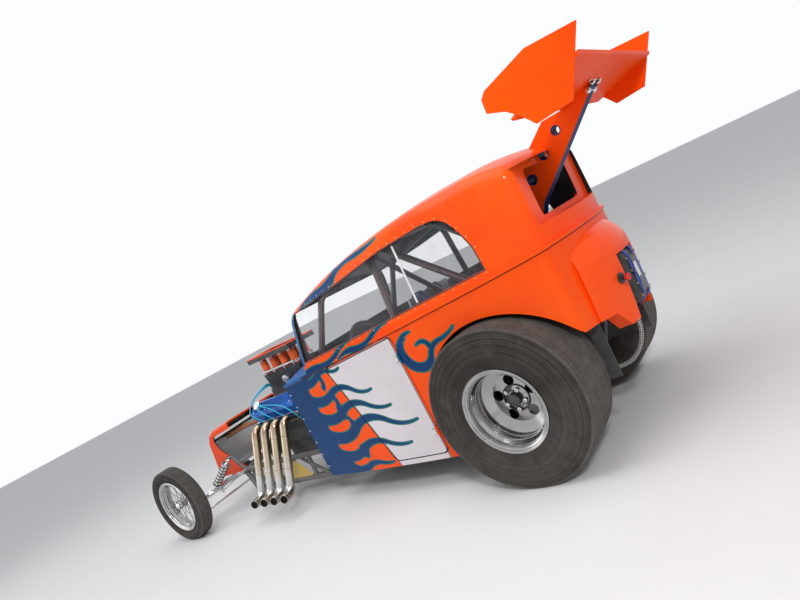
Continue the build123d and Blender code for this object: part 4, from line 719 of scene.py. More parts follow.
class Workshop:
    """Builds each material once and hands it out by name."""

    def __init__(self) -> None:
        """Builds the shared groups."""
        self.effects = Effects()
        self.made: dict[str, Material] = {}

    def get(self, name: str) -> Material:
        """Gives the material of that name, building it the first time."""
        if name not in self.made:
            self.made[name] = FINISHES[name].build(self.effects)
        return self.made[name]


NODE_FINISHES = {
    "body": ("body_shell", "cowl", "door_left", "door_right", "door_hinges"),
    "orange": ("boot_lid",),
    "wing": ("wing_blade", "wing_end_plates"),
    "nose": ("nose_shell",),
    "pylon": ("wing_pylon",),
    "engine_blue": ("rocker_covers",),
    "iron": ("engine_block",),
    "alloy": ("cylinder_heads", "motor_plates", "front_drive", "gearbox", "radiator", "seat_shell"),
    "panels": ("cabin_panels", "wheel_tubs"),
    "polished": ("rear_wheel_left", "rear_wheel_right", "front_wheel_left", "front_wheel_right"),
    "pipes": ("header_left", "header_right"),
    "chrome": ("front_axle", "knuckle_left", "knuckle_right", "tie_rod", "drag_link", "pitman_arm", "radius_rods",
               "coilovers", "propshaft"),
    "black": ("intake_manifold", "air_tray", "magneto", "steering_wheel", "steering_box", "ladder_bars", "rear_axle"),
    "slick": ("rear_tyre_left", "rear_tyre_right"),
    "ribbed_tyre": ("front_tyre_left", "front_tyre_right"),
    "hose": ("injector_stacks",),
    "frame": ("frame_left", "frame_right", "frame_cross_tubes", "frame_tail"),
    "clear": ("side_windows",),
    "cage": ("roll_cage",),
    "yellow": ("frame_gussets",),
    "fabric": ("parachute_pack",),
    "seat": ("seat_pad",),
}


def dress_nodes(shop: Workshop) -> None:
    """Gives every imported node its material."""
    for finish, names in NODE_FINISHES.items():
        for name in names:
            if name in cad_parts:
                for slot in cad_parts[name].material_slots:
                    slot.material = shop.get(finish)
    LOG.info("dressed %d nodes", len(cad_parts))


def bevel_edges(piece: Object, width: float) -> None:
    """Rounds a piece's sharp edges by a width in metres, if it isn't nought."""
    if width:
        edge = piece.modifiers.new("edges", "BEVEL")
        edge.width = width
        edge.segments = 2
        edge.angle_limit = SHARP


@dataclass
class Shape:
    """Points and faces of one piece while it is made."""

    points: list[Vector] = field(default_factory=list)
    faces: list[tuple[int, ...]] = field(default_factory=list)

    def grid(self, rows: Sequence[Sequence[Vector]], round_rows: bool = False) -> None:
        """Joins rings of points into quads.

        Args:
            rows: Rings of equal length.
            round_rows: Joins the last ring to the first.
        """
        start = len(self.points)
        width = len(rows[0])
        for row in rows:
            self.points.extend(row)
        for i in range(len(rows) if round_rows else len(rows) - 1):
            for j in range(width):
                a, b = i * width, ((i + 1) % len(rows)) * width
                k = (j + 1) % width
                self.faces.append((start + a + j, start + a + k, start + b + k, start + b + j))

    def cap(self, row: Sequence[Vector]) -> None:
        """Closes a ring of points with one face."""
        start = len(self.points)
        self.points.extend(row)
        self.faces.append(tuple(range(start, start + len(row))))

    def bar(self, rows: Sequence[Sequence[Vector]]) -> None:
        """Joins rings of points into quads and closes both ends."""
        self.grid(rows)
        self.cap(rows[0])
        self.cap(rows[-1])

    def lathe(self, centre: Vector, axis: Vector, profile: Profile, steps: int, closed: bool = False) -> None:
        """Turns a profile of (distance along, radius) pairs round an axis."""
        along = axis.normalized()
        side = along.orthogonal().normalized()
        other = along.cross(side)
        aways = [side * math.cos(math.tau * k / steps) + other * math.sin(math.tau * k / steps) for k in range(steps)]
        self.grid([[centre + along * reach + away * radius for away in aways] for reach, radius in profile], closed)

    def tube(self, path: Path, radius: float, sides: int) -> None:
        """Runs a round tube with closed ends along a path.

        Args:
            path: Points along its middle.
            radius: Its radius in metres.
            sides: Faces round it.
        """
        rows = []
        normal = (path[1] - path[0]).orthogonal().normalized()
        for i, place in enumerate(path):
            ahead = path[min(i + 1, len(path) - 1)] - path[max(i - 1, 0)]
            ahead.normalize()
            normal = (normal - ahead * normal.dot(ahead)).normalized()
            other = ahead.cross(normal)
            turns = (math.tau * k / sides for k in range(sides))
            rows.append([place + (normal * math.cos(turn) + other * math.sin(turn)) * radius for turn in turns])
        self.bar(rows)

    def ring(self, centre: Vector, axis: Vector, radius: float, thick: float, steps: int) -> None:
        """Adds a round ring of wire round an axis."""
        turns = (math.tau * k / 8 for k in range(8))
        profile = [(thick * math.cos(turn), radius + thick * math.sin(turn)) for turn in turns]
        self.lathe(centre, axis, profile, steps, closed=True)

    def block(self, low: Vector, high: Vector) -> None:
        """Adds a box between two corners."""
        ring = [(low.x, low.y), (high.x, low.y), (high.x, high.y), (low.x, high.y)]
        self.bar([[Vector((x, y, z)) for x, y in ring] for z in (low.z, high.z)])

    def done(self, name: str, material: Material, body: str = "root", slot: str = "", bevel: float = 0.0) -> Object:
        """Makes the piece's object.

        Args:
            name: The piece's name.
            material: Its material.
            body: The body it rides on.
            slot: Not used.
            bevel: Width of the bevel on its edges, in metres.

        Returns:
            The object, at the origin, with its place in its mesh.
        """
        mesh = bpy.data.meshes.new(name)
        mesh.from_pydata([tuple(p) for p in self.points], [], self.faces)
        build = bmesh.new()
        build.from_mesh(mesh)
        bmesh.ops.remove_doubles(build, verts=build.verts, dist=1e-6)
        bmesh.ops.recalc_face_normals(build, faces=build.faces)
        build.to_mesh(mesh)
        build.free()
        mesh.shade_smooth()
        mesh.set_sharp_from_angle(angle=SHARP)
        mesh.materials.append(material)
        piece = new_object(name, mesh)
        bevel_edges(piece, bevel)
        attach(piece, body)
        LOG.info("%s: %d faces on %s", name, len(mesh.polygons), body)
        return piece


class Item(Enum):
    """What is set out again and again by Geometry Nodes."""

    DOME = "dome"
    HEX = "hex"
    SLAT = "slat"


@dataclass(frozen=True)
class Spot:
    """One place of a repeated item, the way it faces and the way its length runs."""

    place: Vector
    facing: Vector
    along: Vector = BACKWARD


ITEM_SIZES = ("Length", "Width", "Height")


@dataclass
class Repeats:
    """Sets out one item at many spots with a Geometry Nodes tree."""

    item: Item
    size: tuple[float, float, float]

    def tree(self) -> bpy.types.NodeTree:
        """Builds the tree, with the item's three sizes and its material as inputs."""
        tree = bpy.data.node_groups.new("repeat_" + self.item.value, "GeometryNodeTree")
        tree.interface.new_socket("Geometry", in_out="INPUT", socket_type="NodeSocketGeometry")
        for label, usual in zip(ITEM_SIZES, self.size):
            socket = tree.interface.new_socket(label, in_out="INPUT", socket_type="NodeSocketFloat")
            socket.default_value = usual
        tree.interface.new_socket("Material", in_out="INPUT", socket_type="NodeSocketMaterial")
        tree.interface.new_socket("Geometry", in_out="OUTPUT", socket_type="NodeSocketGeometry")
        graph = Graph(tree)
        given = tree.nodes.new("NodeGroupInput").outputs
        size = graph.add("ShaderNodeCombineXYZ", {i: given[label] for i, label in enumerate(ITEM_SIZES)})
        unit = self.unit(graph)
        shaped = graph.add("GeometryNodeTransform", {"Geometry": unit, "Scale": size})
        facing = graph.add("GeometryNodeInputNamedAttribute", {"Name": "facing"}, data_type="FLOAT_VECTOR")
        along = graph.add("GeometryNodeInputNamedAttribute", {"Name": "along"}, data_type="FLOAT_VECTOR")
        up = graph.add("FunctionNodeAlignRotationToVector", {"Vector": facing}, axis="Z")
        turned = graph.add("FunctionNodeAlignRotationToVector", {"Rotation": up, "Vector": along}, axis="X",
                           pivot_axis="Z")
        dots = graph.add("GeometryNodeMeshToPoints", {"Mesh": given["Geometry"]})
        placed = graph.add("GeometryNodeInstanceOnPoints", {"Points": dots, "Instance": shaped, "Rotation": turned})
        real = graph.add("GeometryNodeRealizeInstances", {0: placed})
        dressed = graph.add("GeometryNodeSetMaterial", {"Geometry": real, "Material": given["Material"]})
        leave = tree.nodes.new("NodeGroupOutput")
        tree.links.new(dressed, leave.inputs[0])
        return tree

    def unit(self, graph: Graph) -> Socket:
        """Adds the item at unit size: a dome, a six-sided head or a slat."""
        if self.item is Item.DOME:
            return graph.add("GeometryNodeMeshUVSphere", {"Segments": 10, "Rings": 6, "Radius": 0.5})
        if self.item is Item.HEX:
            return graph.add("GeometryNodeMeshCylinder", {"Vertices": 6, "Radius": 0.5, "Depth": 1.0})
        return graph.add("GeometryNodeMeshCube", {"Size": (1.0, 1.0, 1.0)})

    def done(self, name: str, spots: Sequence[Spot], material: Material, body: str = "root",
             bevel: float = 0.0) -> Object:
        """Sets the items out and turns the result into a plain mesh.

        Args:
            name: The piece's name.
            spots: Where each item goes.
            material: The items' material.
            body: The body they ride on.
            bevel: Width of the bevel on their edges.

        Returns:
            The object.
        """
        seed = bpy.data.meshes.new(name)
        seed.from_pydata([tuple(s.place) for s in spots], [], [])
        for label in ("facing", "along"):
            layer = seed.attributes.new(label, "FLOAT_VECTOR", "POINT")
            for value, spot in zip(layer.data, spots):
                value.vector = getattr(spot, label)
        piece = new_object(name, seed)
        setter = piece.modifiers.new("set_out", "NODES")
        setter.node_group = self.tree()
        given = {"Material": material, **dict(zip(ITEM_SIZES, self.size))}
        for socket in setter.node_group.interface.items_tree:
            if socket.in_out == "INPUT" and socket.name in given:
                setter[socket.identifier] = given[socket.name]
        mesh = plain_mesh(piece)
        piece.modifiers.remove(setter)
        piece.data = mesh
        mesh.name = name
        if self.item is Item.DOME:
            mesh.shade_smooth()
        bevel_edges(piece, bevel)
        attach(piece, body)
        LOG.info("%s: %d items on %s", name, len(spots), body)
        return piece


def surface_tree(*names: str) -> BVHTree:
    """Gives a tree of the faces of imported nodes, for finding points on them."""
    points: list[Vector] = []
    faces: list[tuple[int, ...]] = []
    for name in names:
        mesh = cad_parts[name].data
        start = len(points)
        points.extend(v.co.copy() for v in mesh.vertices)
        faces.extend(tuple(start + i for i in p.vertices) for p in mesh.polygons)
    return BVHTree.FromPolygons(points, faces)


def outward(path: Path, reach: float) -> list[Vector]:
    """Moves a closed line in the side plane outwards.

    Args:
        path: Its corners, in order from the rear foot towards the front.
        reach: How far it moves, in metres.

    Returns:
        The moved corners.
    """
    middle = sum(path, Vector()) / len(path)
    moved = []
    for i, place in enumerate(path):
        run = path[(i + 1) % len(path)] - path[i - 1]
        side = Vector((0.0, -run.z, run.y)).normalized()
        if side.dot(place - middle) < 0:
            side.negate()
        moved.append(place + side * reach)
    return moved


def spaced(path: Path, gap: float) -> list[Vector]:
    """Sets points out evenly along a closed line, about a gap apart."""
    line = [*path, path[0]]
    total = sum((b - a).length for a, b in zip(line, line[1:]))
    count = round(total / gap)
    step = total / count
    made, ahead = [], 0.0
    for a, b in zip(line, line[1:]):
        run = (b - a).length
        while ahead <= run + 1e-9 and len(made) < count:
            made.append(a.lerp(b, ahead / run))
            ahead += step
        ahead -= run
    return made


def smooth(path: Path, steps: int) -> list[Vector]:
    """Runs a smooth line through a few points."""
    made = []
    points = [path[0], *path, path[-1]]
    for a, b, c, d in zip(points, points[1:], points[2:], points[3:]):
        for k in range(steps):
            t = k / steps
            square, cube = 2 * a - 5 * b + 4 * c - d, 3 * b - a - 3 * c + d
            made.append(0.5 * (2 * b + (c - a) * t + square * t ** 2 + cube * t ** 3))
    made.append(path[-1])
    return made


def route(steps: int, *places: tuple[float, float, float]) -> list[Vector]:
    """Runs a smooth line through places told as for `at`, in some steps from each to the next."""
    return smooth([at(*place) for place in places], steps)


def bank(up: float, out: float, side: int, y: float) -> Vector:
    """Gives a place on one cylinder bank, from distances up it and outwards from it."""
    return at(side * (up + out) * SLANT, y, CRANK_Z + (up - out) * SLANT)


TETHER_R = 0.011
TETHER_ROUTE = ((0.030, 0.500, 0.535), (0.030, 0.500, 0.462), (0.024, 0.484, 0.378), (0.015, 0.440, 0.304),
                (0.007, 0.378, 0.252), (0.002, 0.300, 0.235), (0.002, 0.199, 0.235))
WINDOW_LINE = [(0.150, 1.002), (-1.226, 0.912), (-1.166, 1.192), (-0.800, 1.228), (-0.360, 1.287), (-0.060, 1.302),
               (0.038, 1.283), (0.098, 1.200), (0.133, 1.113)]
CRANK_Z = 0.420
ENGINE_Y = -1.970
STACK_YS = tuple(ENGINE_Y + (i - 1.5) * 0.112 for i in range(4))
PLATE_Y = ENGINE_Y - 0.280 - 0.006
SLANT = math.sqrt(0.5)
CRANK_PULLEY = (0.0825, CRANK_Z)
PUMP_PULLEY = (0.0505, CRANK_Z + 0.110)


class Skin:
    """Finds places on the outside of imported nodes."""

    def __init__(self, *names: str) -> None:
        """Keeps a tree of the nodes' faces."""
        self.tree = surface_tree(*names)

    def hit(self, start: Vector, way: Vector) -> Optional[tuple[Vector, Vector]]:
        """Gives the first place met from a start, and the way its surface faces."""
        place, normal, _, _ = self.tree.ray_cast(start, way)
        if place is None:
            return None
        return place, (normal if normal.dot(way) < 0 else -normal)

    def spots(self, line: Sequence[Vector], sign: int) -> list[Spot]:
        """Gives spots on the car's left (1) or right (-1) side for places of a line in the side plane."""
        found = [self.hit(Vector((sign, p.y, p.z)), -sign * LEFTWARD) for p in line]
        return [Spot(place, normal) for place, normal in filter(None, found)]


HEAD_BEVEL = 0.06


class Maker:
    """Shared tools of the groups that add pieces to the car."""

    def __init__(self, shop: Workshop) -> None:
        """Keeps the materials."""
        self.shop = shop

    def tubes(self, name: str, paths: Sequence[Path], radius: float, finish: str, body: str = "root", sides: int = 12,
              slot: str = "") -> Object:
        """Makes one piece of several round tubes."""
        shape = Shape()
        for path in paths:
            shape.tube(path, radius, sides)
        return shape.done(name, self.shop.get(finish), body, slot)

    def rings(self, name: str, rings: Sequence[tuple[Vector, Vector, float]], thick: float, finish: str,
              body: str = "root", steps: int = 40) -> Object:
        """Makes one piece of several round rings, each given as its centre, axis and radius."""
        shape = Shape()
        for centre, axis, radius in rings:
            shape.ring(centre, axis, radius, thick, steps)
        return shape.done(name, self.shop.get(finish), body)

    def turned(self, name: str, rounds: Sequence[tuple[Vector, Vector, Profile]], steps: int, finish: str,
               body: str = "root", bevel: float = 0.0, closed: bool = False) -> Object:
        """Makes one piece of turned shapes, each given as its centre, axis and profile."""
        shape = Shape()
        for centre, axis, profile in rounds:
            shape.lathe(centre, axis, profile, steps, closed)
        return shape.done(name, self.shop.get(finish), body, bevel=bevel)

    def heads(self, name: str, spots: Sequence[Spot], size: float, height: float, finish: str, body: str = "root",
              item: Item = Item.HEX) -> Object:
        """Sets bolt heads or rivets out at spots."""
        bevel = size * HEAD_BEVEL if item is Item.HEX else 0.0
        return Repeats(item, (size, size, height)).done(name, spots, self.shop.get(finish), body, bevel)


@dataclass(frozen=True)
class WheelSpec:
    """One wheel: its body, which way is out and where its middle is."""

    name: str
    sign: int
    middle: Vector


REAR_WHEELS = tuple(WheelSpec("rear_wheel_" + name, sign, at(sign * REAR_WHEEL_X, 0.0, REAR_TYRE_R))
                    for name, sign in BOTH_SIDES)
FRONT_WHEELS = tuple(WheelSpec("front_wheel_" + name, sign, at(sign * FRONT_WHEEL_X, FRONT_AXLE_Y, FRONT_TYRE_R))
                     for name, sign in BOTH_SIDES)


class Wheels(Maker):
    """Rings, nuts, caps, valves and wall ribs on the four wheels."""

    def build(self) -> None:
        """Adds every piece."""
        for wheel in REAR_WHEELS:
            self.rear(wheel)
        for wheel in FRONT_WHEELS:
            self.front(wheel)

    def around(self, wheel: WheelSpec, reach: float, radius: float, count: int, start: float = 0.0) -> list[Spot]:
        """Sets spots out round a wheel, facing outwards.

        Args:
            wheel: The wheel.
            reach: Distance outwards from its middle.
            radius: Distance from its axle.
            count: How many.
            start: First angle in degrees from straight up.

        Returns:
            The spots.
        """
        axis = wheel.sign * LEFTWARD
        spots = []
        for k in range(count):
            turn = math.radians(start + 360 * k / count)
            away = Vector((0.0, math.sin(turn), math.cos(turn)))
            spots.append(Spot(wheel.middle + axis * reach + away * radius, axis, away))
        return spots

    def rear(self, wheel: WheelSpec) -> None:
        """Adds the rings in the dish, the nuts, studs and cap, the valve and the ribs on the tyre's wall."""
        name, middle, axis = wheel.name, wheel.middle, wheel.sign * LEFTWARD
        dish = ((0.1530, 0.1950), (0.1400, 0.1830), (0.1220, 0.1830), (0.0940, 0.1690), (0.0600, 0.1690))
        self.rings(name + "_dish_rings", [(middle + axis * reach, axis, radius) for reach, radius in dish], 0.0026,
                   "polished", name, 72)
        self.heads(name + "_nuts", self.around(wheel, 0.0220, 0.050, 5, 36), 0.021, 0.022, "chrome", name)
        self.heads(name + "_studs", self.around(wheel, 0.0330, 0.050, 5, 36), 0.012, 0.014, "chrome", name, Item.DOME)
        cap = [(0.040, 0.0), (0.0545, 0.0), (0.0530, 0.014), (0.0470, 0.024), (0.0440, 0.031), (0.036, 0.033),
               (0.020, 0.0335)]
        self.turned(name + "_cap", [(middle, axis, cap)], 48, "black", name)
        hub = [(middle + axis * 0.018, axis, 0.041), (middle + axis * 0.010, axis, 0.066)]
        self.rings(name + "_hub_ring", hub, 0.003, "black", name)
        valve = middle + Vector((0.0, 0.166, 0.030))
        self.tubes(name + "_valve", [[valve, valve + axis * 0.034 + Vector((0.0, -0.008, 0.0))]], 0.004, "black", name)
        wall = TyreWall(0.165, REAR_TYRE_R, 0.1419, 0.31225, 0.148)
        self.rings(name + "_wall_ribs", wall.ribs(wheel, (0.232, 0.262, 0.352)), 0.0022, "slick", name, 96)

    def front(self, wheel: WheelSpec) -> None:
        """Adds the hub cap, its screws, the rim rings and the ribs on the tyre's wall."""
        name, middle, axis = wheel.name, wheel.middle, wheel.sign * LEFTWARD
        cap = [(0.033, 0.0), (0.050, 0.0), (0.049, 0.010), (0.045, 0.018), (0.038, 0.022), (0.030, 0.0225)]
        self.turned(name + "_cap", [(middle, axis, cap)], 40, "chrome", name)
        screws = self.around(wheel, 0.0345, 0.0285, 5)
        self.heads(name + "_cap_screws", screws, 0.0065, 0.006, "black", name, Item.DOME)
        rings = [(middle + axis * reach, axis, radius) for reach, radius in ((0.0440, 0.1950), (0.0340, 0.1833))]
        self.rings(name + "_rim_rings", rings, 0.0022, "chrome", name, 64)
        wall = TyreWall(0.0575, FRONT_TYRE_R, 0.04485, 0.2465, 0.0385)
        self.rings(name + "_wall_ribs", wall.ribs(wheel, (0.222, 0.262)), 0.0016, "ribbed_tyre", name, 80)


CLOTH_FRAMES = 20
BROAD_LUMPS = 24.0
FINE_LUMPS = 61.0


@dataclass(frozen=True)
class Cushion:
    """A soft piece that stands for a packed block, blown up a little by a cloth simulation."""

    node: str
    voxel: float
    pressure: float
    reach: float
    lumps: float
    fill: float

    def build(self, name: str, material: Material) -> Object:
        """Makes the piece, which stays within a small reach of the block.

        Args:
            name: The piece's name.
            material: Its cover.

        Returns:
            The object.
        """
        piece = new_object(name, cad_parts[self.node].data.copy())
        remesh = piece.modifiers.new("cells", "REMESH")
        remesh.mode = "VOXEL"
        remesh.voxel_size = self.voxel
        self.bake(piece)
        rest = [v.co.copy() for v in piece.data.vertices]
        self.blow_up(piece)
        middle = sum(rest, Vector()) / len(rest)
        for vertex, start in zip(piece.data.vertices, rest):
            wave = noise.noise(start * BROAD_LUMPS) + 0.5 * noise.noise(start * FINE_LUMPS)
            moved = vertex.co - start + (start - middle).normalized() * wave * self.lumps
            vertex.co = start + (moved if moved.length < self.reach else moved.normalized() * self.reach)
        finer = piece.modifiers.new("finer", "SUBSURF")
        finer.levels = finer.render_levels = 1
        self.bake(piece)
        piece.data.shade_smooth()
        piece.data.materials.clear()
        piece.data.materials.append(material)
        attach(piece, "root")
        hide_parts(self.node)
        LOG.info("%s: %d faces", name, len(piece.data.polygons))
        return piece

    def bake(self, piece: Object) -> None:
        """Turns the piece's modifiers into plain mesh."""
        mesh = plain_mesh(piece)
        piece.modifiers.clear()
        piece.data = mesh

    def blow_up(self, piece: Object) -> None:
        """Runs the cloth simulation for some frames and keeps its result."""
        cloth = piece.modifiers.new("cloth", "CLOTH")
        cloth.settings.use_pressure = True
        cloth.settings.uniform_pressure_force = self.pressure
        cloth.settings.effector_weights.gravity = 0.0
        cloth.settings.quality = 4
        scene = bpy.context.scene
        for number in range(1, CLOTH_FRAMES + 1):
            scene.frame_set(number)
        self.bake(piece)
        scene.frame_set(1)


STRAP_HALF = 0.014


class Parachute(Maker):
    """The soft bag and cushion, the pack's straps, and its tether."""

    def build(self) -> None:
        """Adds every piece."""
        Cushion("parachute_pack", 0.006, 4.0, 0.008, 0.009, 0.8).build("pack_bag", self.shop.get("fabric"))
        Cushion("seat_pad", 0.007, 3.0, 0.007, 0.003, 0.7).build("seat_cushion", self.shop.get("seat"))
        self.straps()
        self.tether()

    def straps(self) -> None:
        """Lays two straps, a bare tag, a looped cord and eyelets over the pack."""
        bands = Shape()
        lie = ((0.470, 0.796), (0.540, 0.797), (0.568, 0.792), (0.5815, 0.775), (0.5835, 0.700), (0.5835, 0.620),
               (0.5815, 0.552), (0.566, 0.531), (0.540, 0.526), (0.470, 0.527))
        for x in (-0.050, 0.045):
            rows = []
            for y, z in lie:
                under = z - (z - 0.66) * 0.02
                left, right = x - STRAP_HALF, x + STRAP_HALF
                rows.append([at(left, y, z), at(right, y, z), at(right, y - 0.004, under), at(left, y - 0.004, under)])
            bands.grid(rows)
        bands.done("pack_straps", self.shop.get("belt_blue"))
        tag = Shape()
        tag.block(at(-0.020, 0.5815, 0.640), at(0.018, 0.5850, 0.712))
        tag.done("pack_tag", self.shop.get("white"), bevel=0.0006)
        turns = (math.tau * k / 24 for k in range(25))
        loop = [at(0.060 + 0.018 * math.sin(turn), 0.588, 0.720 + 0.045 * math.cos(turn)) for turn in turns]
        tail = route(6, (0.060, 0.588, 0.675), (0.052, 0.592, 0.640), (0.066, 0.590, 0.600), (0.058, 0.583, 0.560))
        self.tubes("pack_loop", [loop, tail], 0.0035, "belt_blue", sides=8)
        spots = [Spot(at(x, 0.583, z), BACKWARD) for x in (-0.078, 0.078) for z in (0.565, 0.625, 0.690, 0.750)]
        self.heads("pack_eyelets", spots, 0.013, 0.005, "brass", item=Item.DOME)

    def tether(self) -> None:
        """Runs the tether from the pack's mouth to the frame's tail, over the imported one."""
        curve = bpy.data.curves.new("tether_route", "CURVE")
        curve.dimensions = "3D"
        spline = curve.splines.new("NURBS")
        spline.points.add(len(TETHER_ROUTE) - 1)
        for point, place in zip(spline.points, TETHER_ROUTE):
            point.co = (*at(*place), 1.0)
        spline.order_u = 3
        spline.use_endpoint_u = True
        spline.resolution_u = 12
        guide = new_object("tether_route", curve)
        line = plain_mesh(guide)
        path = [v.co.copy() for v in line.vertices]
        bpy.data.objects.remove(guide)
        bpy.data.meshes.remove(line)
        length = sum((b - a).length for a, b in zip(path, path[1:]))
        shape = Shape()
        shape.tube(path, TETHER_R, 16)
        tether = shape.done("tether", self.shop.get("braid"))
        layer = tether.data.attributes.new("lay", "FLOAT_VECTOR", "POINT")
        for vertex, value in zip(tether.data.vertices, layer.data):
            value.vector = self.lay(vertex.co, path)
        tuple(path[0])
        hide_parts("parachute_tether")
        LOG.info("tether length %.4f m", length)
        ends = [(path[i], path[i + 1] - path[i - 1], TETHER_R + 0.001) for i in (2, -3)]
        self.rings("tether_collars", ends, 0.003, "chrome", steps=28)

    def lay(self, place: Vector, path: Path) -> Vector:
        """Gives the turn round the cord, as a cosine and a sine, and the run along it."""
        best, run, walked = math.inf, 0.0, 0.0
        nearest, way = path[0], path[1] - path[0]
        for a, b in zip(path, path[1:]):
            if (place - a).length < best:
                best, run, nearest, way = (place - a).length, walked, a, b - a
            walked += (b - a).length
        way = way.normalized()
        side = (LEFTWARD - way * way.x).normalized()
        away = place - nearest
        away -= way * away.dot(way)
        away.normalize()
        return Vector((away.dot(side), away.dot(way.cross(side)), run))


BEAD_R = 0.2074


@dataclass(frozen=True)
class TyreWall:
    """The arc of a tyre's side wall, through its tread edge, its widest place and its bead."""

    half: float
    radius: float
    tread: float
    widest_r: float
    bead: float

    def reach(self, radius: float) -> float:
        """Gives the wall's distance from the tyre's middle at one distance from the axle."""
        a, b, c = (self.tread, self.radius), (self.half, self.widest_r), (self.bead, BEAD_R)
        d = 2 * (a[0] * (b[1] - c[1]) + b[0] * (c[1] - a[1]) + c[0] * (a[1] - b[1]))
        sa, sb, sc = (p[0] ** 2 + p[1] ** 2 for p in (a, b, c))
        x = (sa * (b[1] - c[1]) + sb * (c[1] - a[1]) + sc * (a[1] - b[1])) / d
        r = (sa * (c[0] - b[0]) + sb * (a[0] - c[0]) + sc * (b[0] - a[0])) / d
        size = math.hypot(a[0] - x, a[1] - r)
        return x + math.sqrt(size ** 2 - (radius - r) ** 2)

    def ribs(self, wheel: WheelSpec, radii: Sequence[float]) -> list[tuple[Vector, Vector, float]]:
        """Gives rings that lie on both walls at some distances from the axle."""
        axis = wheel.sign * LEFTWARD
        return [(wheel.middle + axis * (side * self.reach(r)), axis, r) for side in (1, -1) for r in radii]


class Body(Maker):
    """Screws, seals, strips and switches on the body."""

    def build(self) -> None:
        """Adds every piece."""
        skin = Skin("body_shell", "cowl")
        window = [at(0.0, y, z) for y, z in WINDOW_LINE]
        for name, sign in BOTH_SIDES:
            screws = skin.spots(spaced(outward(window, 0.016), 0.062), sign)
            self.heads("window_screws_" + name, screws, 0.0085, 0.005, "brass", item=Item.DOME)
            seal = [spot.place for spot in skin.spots(spaced(outward(window, 0.0035), 0.030), sign)]
            self.tubes("window_seal_" + name, [seal + seal[:1]], 0.0030, "black", sides=8)
            self.strip(name, sign)
            self.door(name, sign)
        for name, sign in BOTH_SIDES:
            fasteners = skin.spots([at(0, -1.515, 0.24 + 0.085 * k) for k in range(7)], sign)
            self.heads("cowl_fasteners_" + name, fasteners, 0.010, 0.004, "chrome", item=Item.DOME)
        self.switch()

    def strip(self, name: str, sign: int) -> None:
        """Adds the pale strip over the joint in one side window."""
        shares = [k / 14 for k in range(15)]
        line = [at(0.0, -0.262 - 0.018 * share, 0.982 + 0.302 * share) for share in shares]
        across = Vector((0.0, 0.0055, 0.0))
        rows = []
        for spot in Skin("side_windows").spots(line, sign):
            place, lift = spot.place, spot.facing * 0.0022
            rows.append([place - across, place + across, place + across + lift, place - across + lift])
        shape = Shape()
        shape.bar(rows)
        shape.done("window_joint_" + name, self.shop.get("white"))

    def door(self, name: str, sign: int) -> None:
        """Adds the screws of one door's hinges."""
        body = "door_" + name
        spots = Skin(body).spots([at(0, -0.538, z) for z in (0.318, 0.342, 0.748, 0.772)], sign)
        self.heads("hinge_screws_" + name, spots, 0.008, 0.005, "chrome", body, Item.DOME)

    def switch(self) -> None:
        """Adds the master switch beside the parachute pack."""
        place, normal = Skin("boot_lid").hit(at(0.165, 1.2, 0.690), -BACKWARD)
        base = [(-0.004, 0.0), (-0.004, 0.026), (0.006, 0.026), (0.008, 0.022), (0.008, 0.011), (0.030, 0.010),
                (0.032, 0.0)]
        self.turned("switch_base", [(place, normal, base)], 28, "black")
        knob = [(-0.003, 0.0), (-0.003, 0.016), (0.012, 0.018), (0.014, 0.0)]
        self.turned("switch_knob", [(place + normal * 0.030, normal, knob)], 8, "red", bevel=0.001)


ROD_X = 0.044


class Wing(Maker):
    """Rivets, edge trim and adjusters of the wing."""

    def build(self) -> None:
        """Adds every piece."""
        blade = Skin("wing_blade")
        met = [blade.hit(at(x, 0.61 + 0.045 * k, 1.52 + 0.5 * way), -way * UPWARD)
               for x in (-0.580, -0.045, 0.045, 0.580) for k in range(7) for way in (1, -1)]
        self.heads("wing_rivets", [Spot(*found) for found in met if found], 0.0085, 0.004, "wing", item=Item.DOME)
        line = [(0.940, 1.668), (0.740, 1.690), (0.535, 1.640), (0.508, 1.615), (0.505, 1.560), (0.575, 1.530),
                (0.620, 1.490), (0.665, 1.430), (0.820, 1.438)]
        inset = outward([at(0.0, y, z) for y, z in line], -0.0030)
        for name, sign in BOTH_SIDES:
            edge = [p + sign * 0.595 * LEFTWARD for p in inset]
            self.tubes("wing_edge_" + name, [edge + edge[:1]], 0.0031, "wing", sides=8)
            rivets = [Spot(at(sign * 0.5965, 0.610 + 0.046 * k, 1.497 + 0.012 * k), sign * LEFTWARD) for k in range(6)]
            self.heads("plate_rivets_" + name, rivets, 0.008, 0.004, "wing", item=Item.DOME)
        self.adjusters(blade)

    def adjusters(self, blade: Skin) -> None:
        """Adds the two rods that hold the blade's angle, with their ends, nuts and pin."""
        under, _ = blade.hit(at(ROD_X, 0.764, 1.45), UPWARD)
        ends = ((0.732, 1.500), (0.764, under.z - 0.007))
        way = at(0.0, *ends[1]) - at(0.0, *ends[0])
        rods = [[at(s * ROD_X, *end) for end in ends] for s in (1, -1)]
        self.tubes("wing_adjusters", rods, 0.0070, "black", slot="black_metal")
        joints = [(at(s * ROD_X, y, z), LEFTWARD, 0.009) for s in (1, -1) for y, z in ends]
        self.rings("wing_rod_ends", joints, 0.0045, "chrome", steps=24)
        collars = [(at(s * ROD_X, *ends[0]) + k * way, way, 0.0074) for s in (1, -1) for k in (0.26, 0.74)]
        self.rings("wing_rod_nuts", collars, 0.0028, "chrome", steps=20)
        self.tubes("wing_rod_pins", [[at(-0.058, *ends[0]), at(0.058, *ends[0])]], 0.006, "chrome", sides=10)


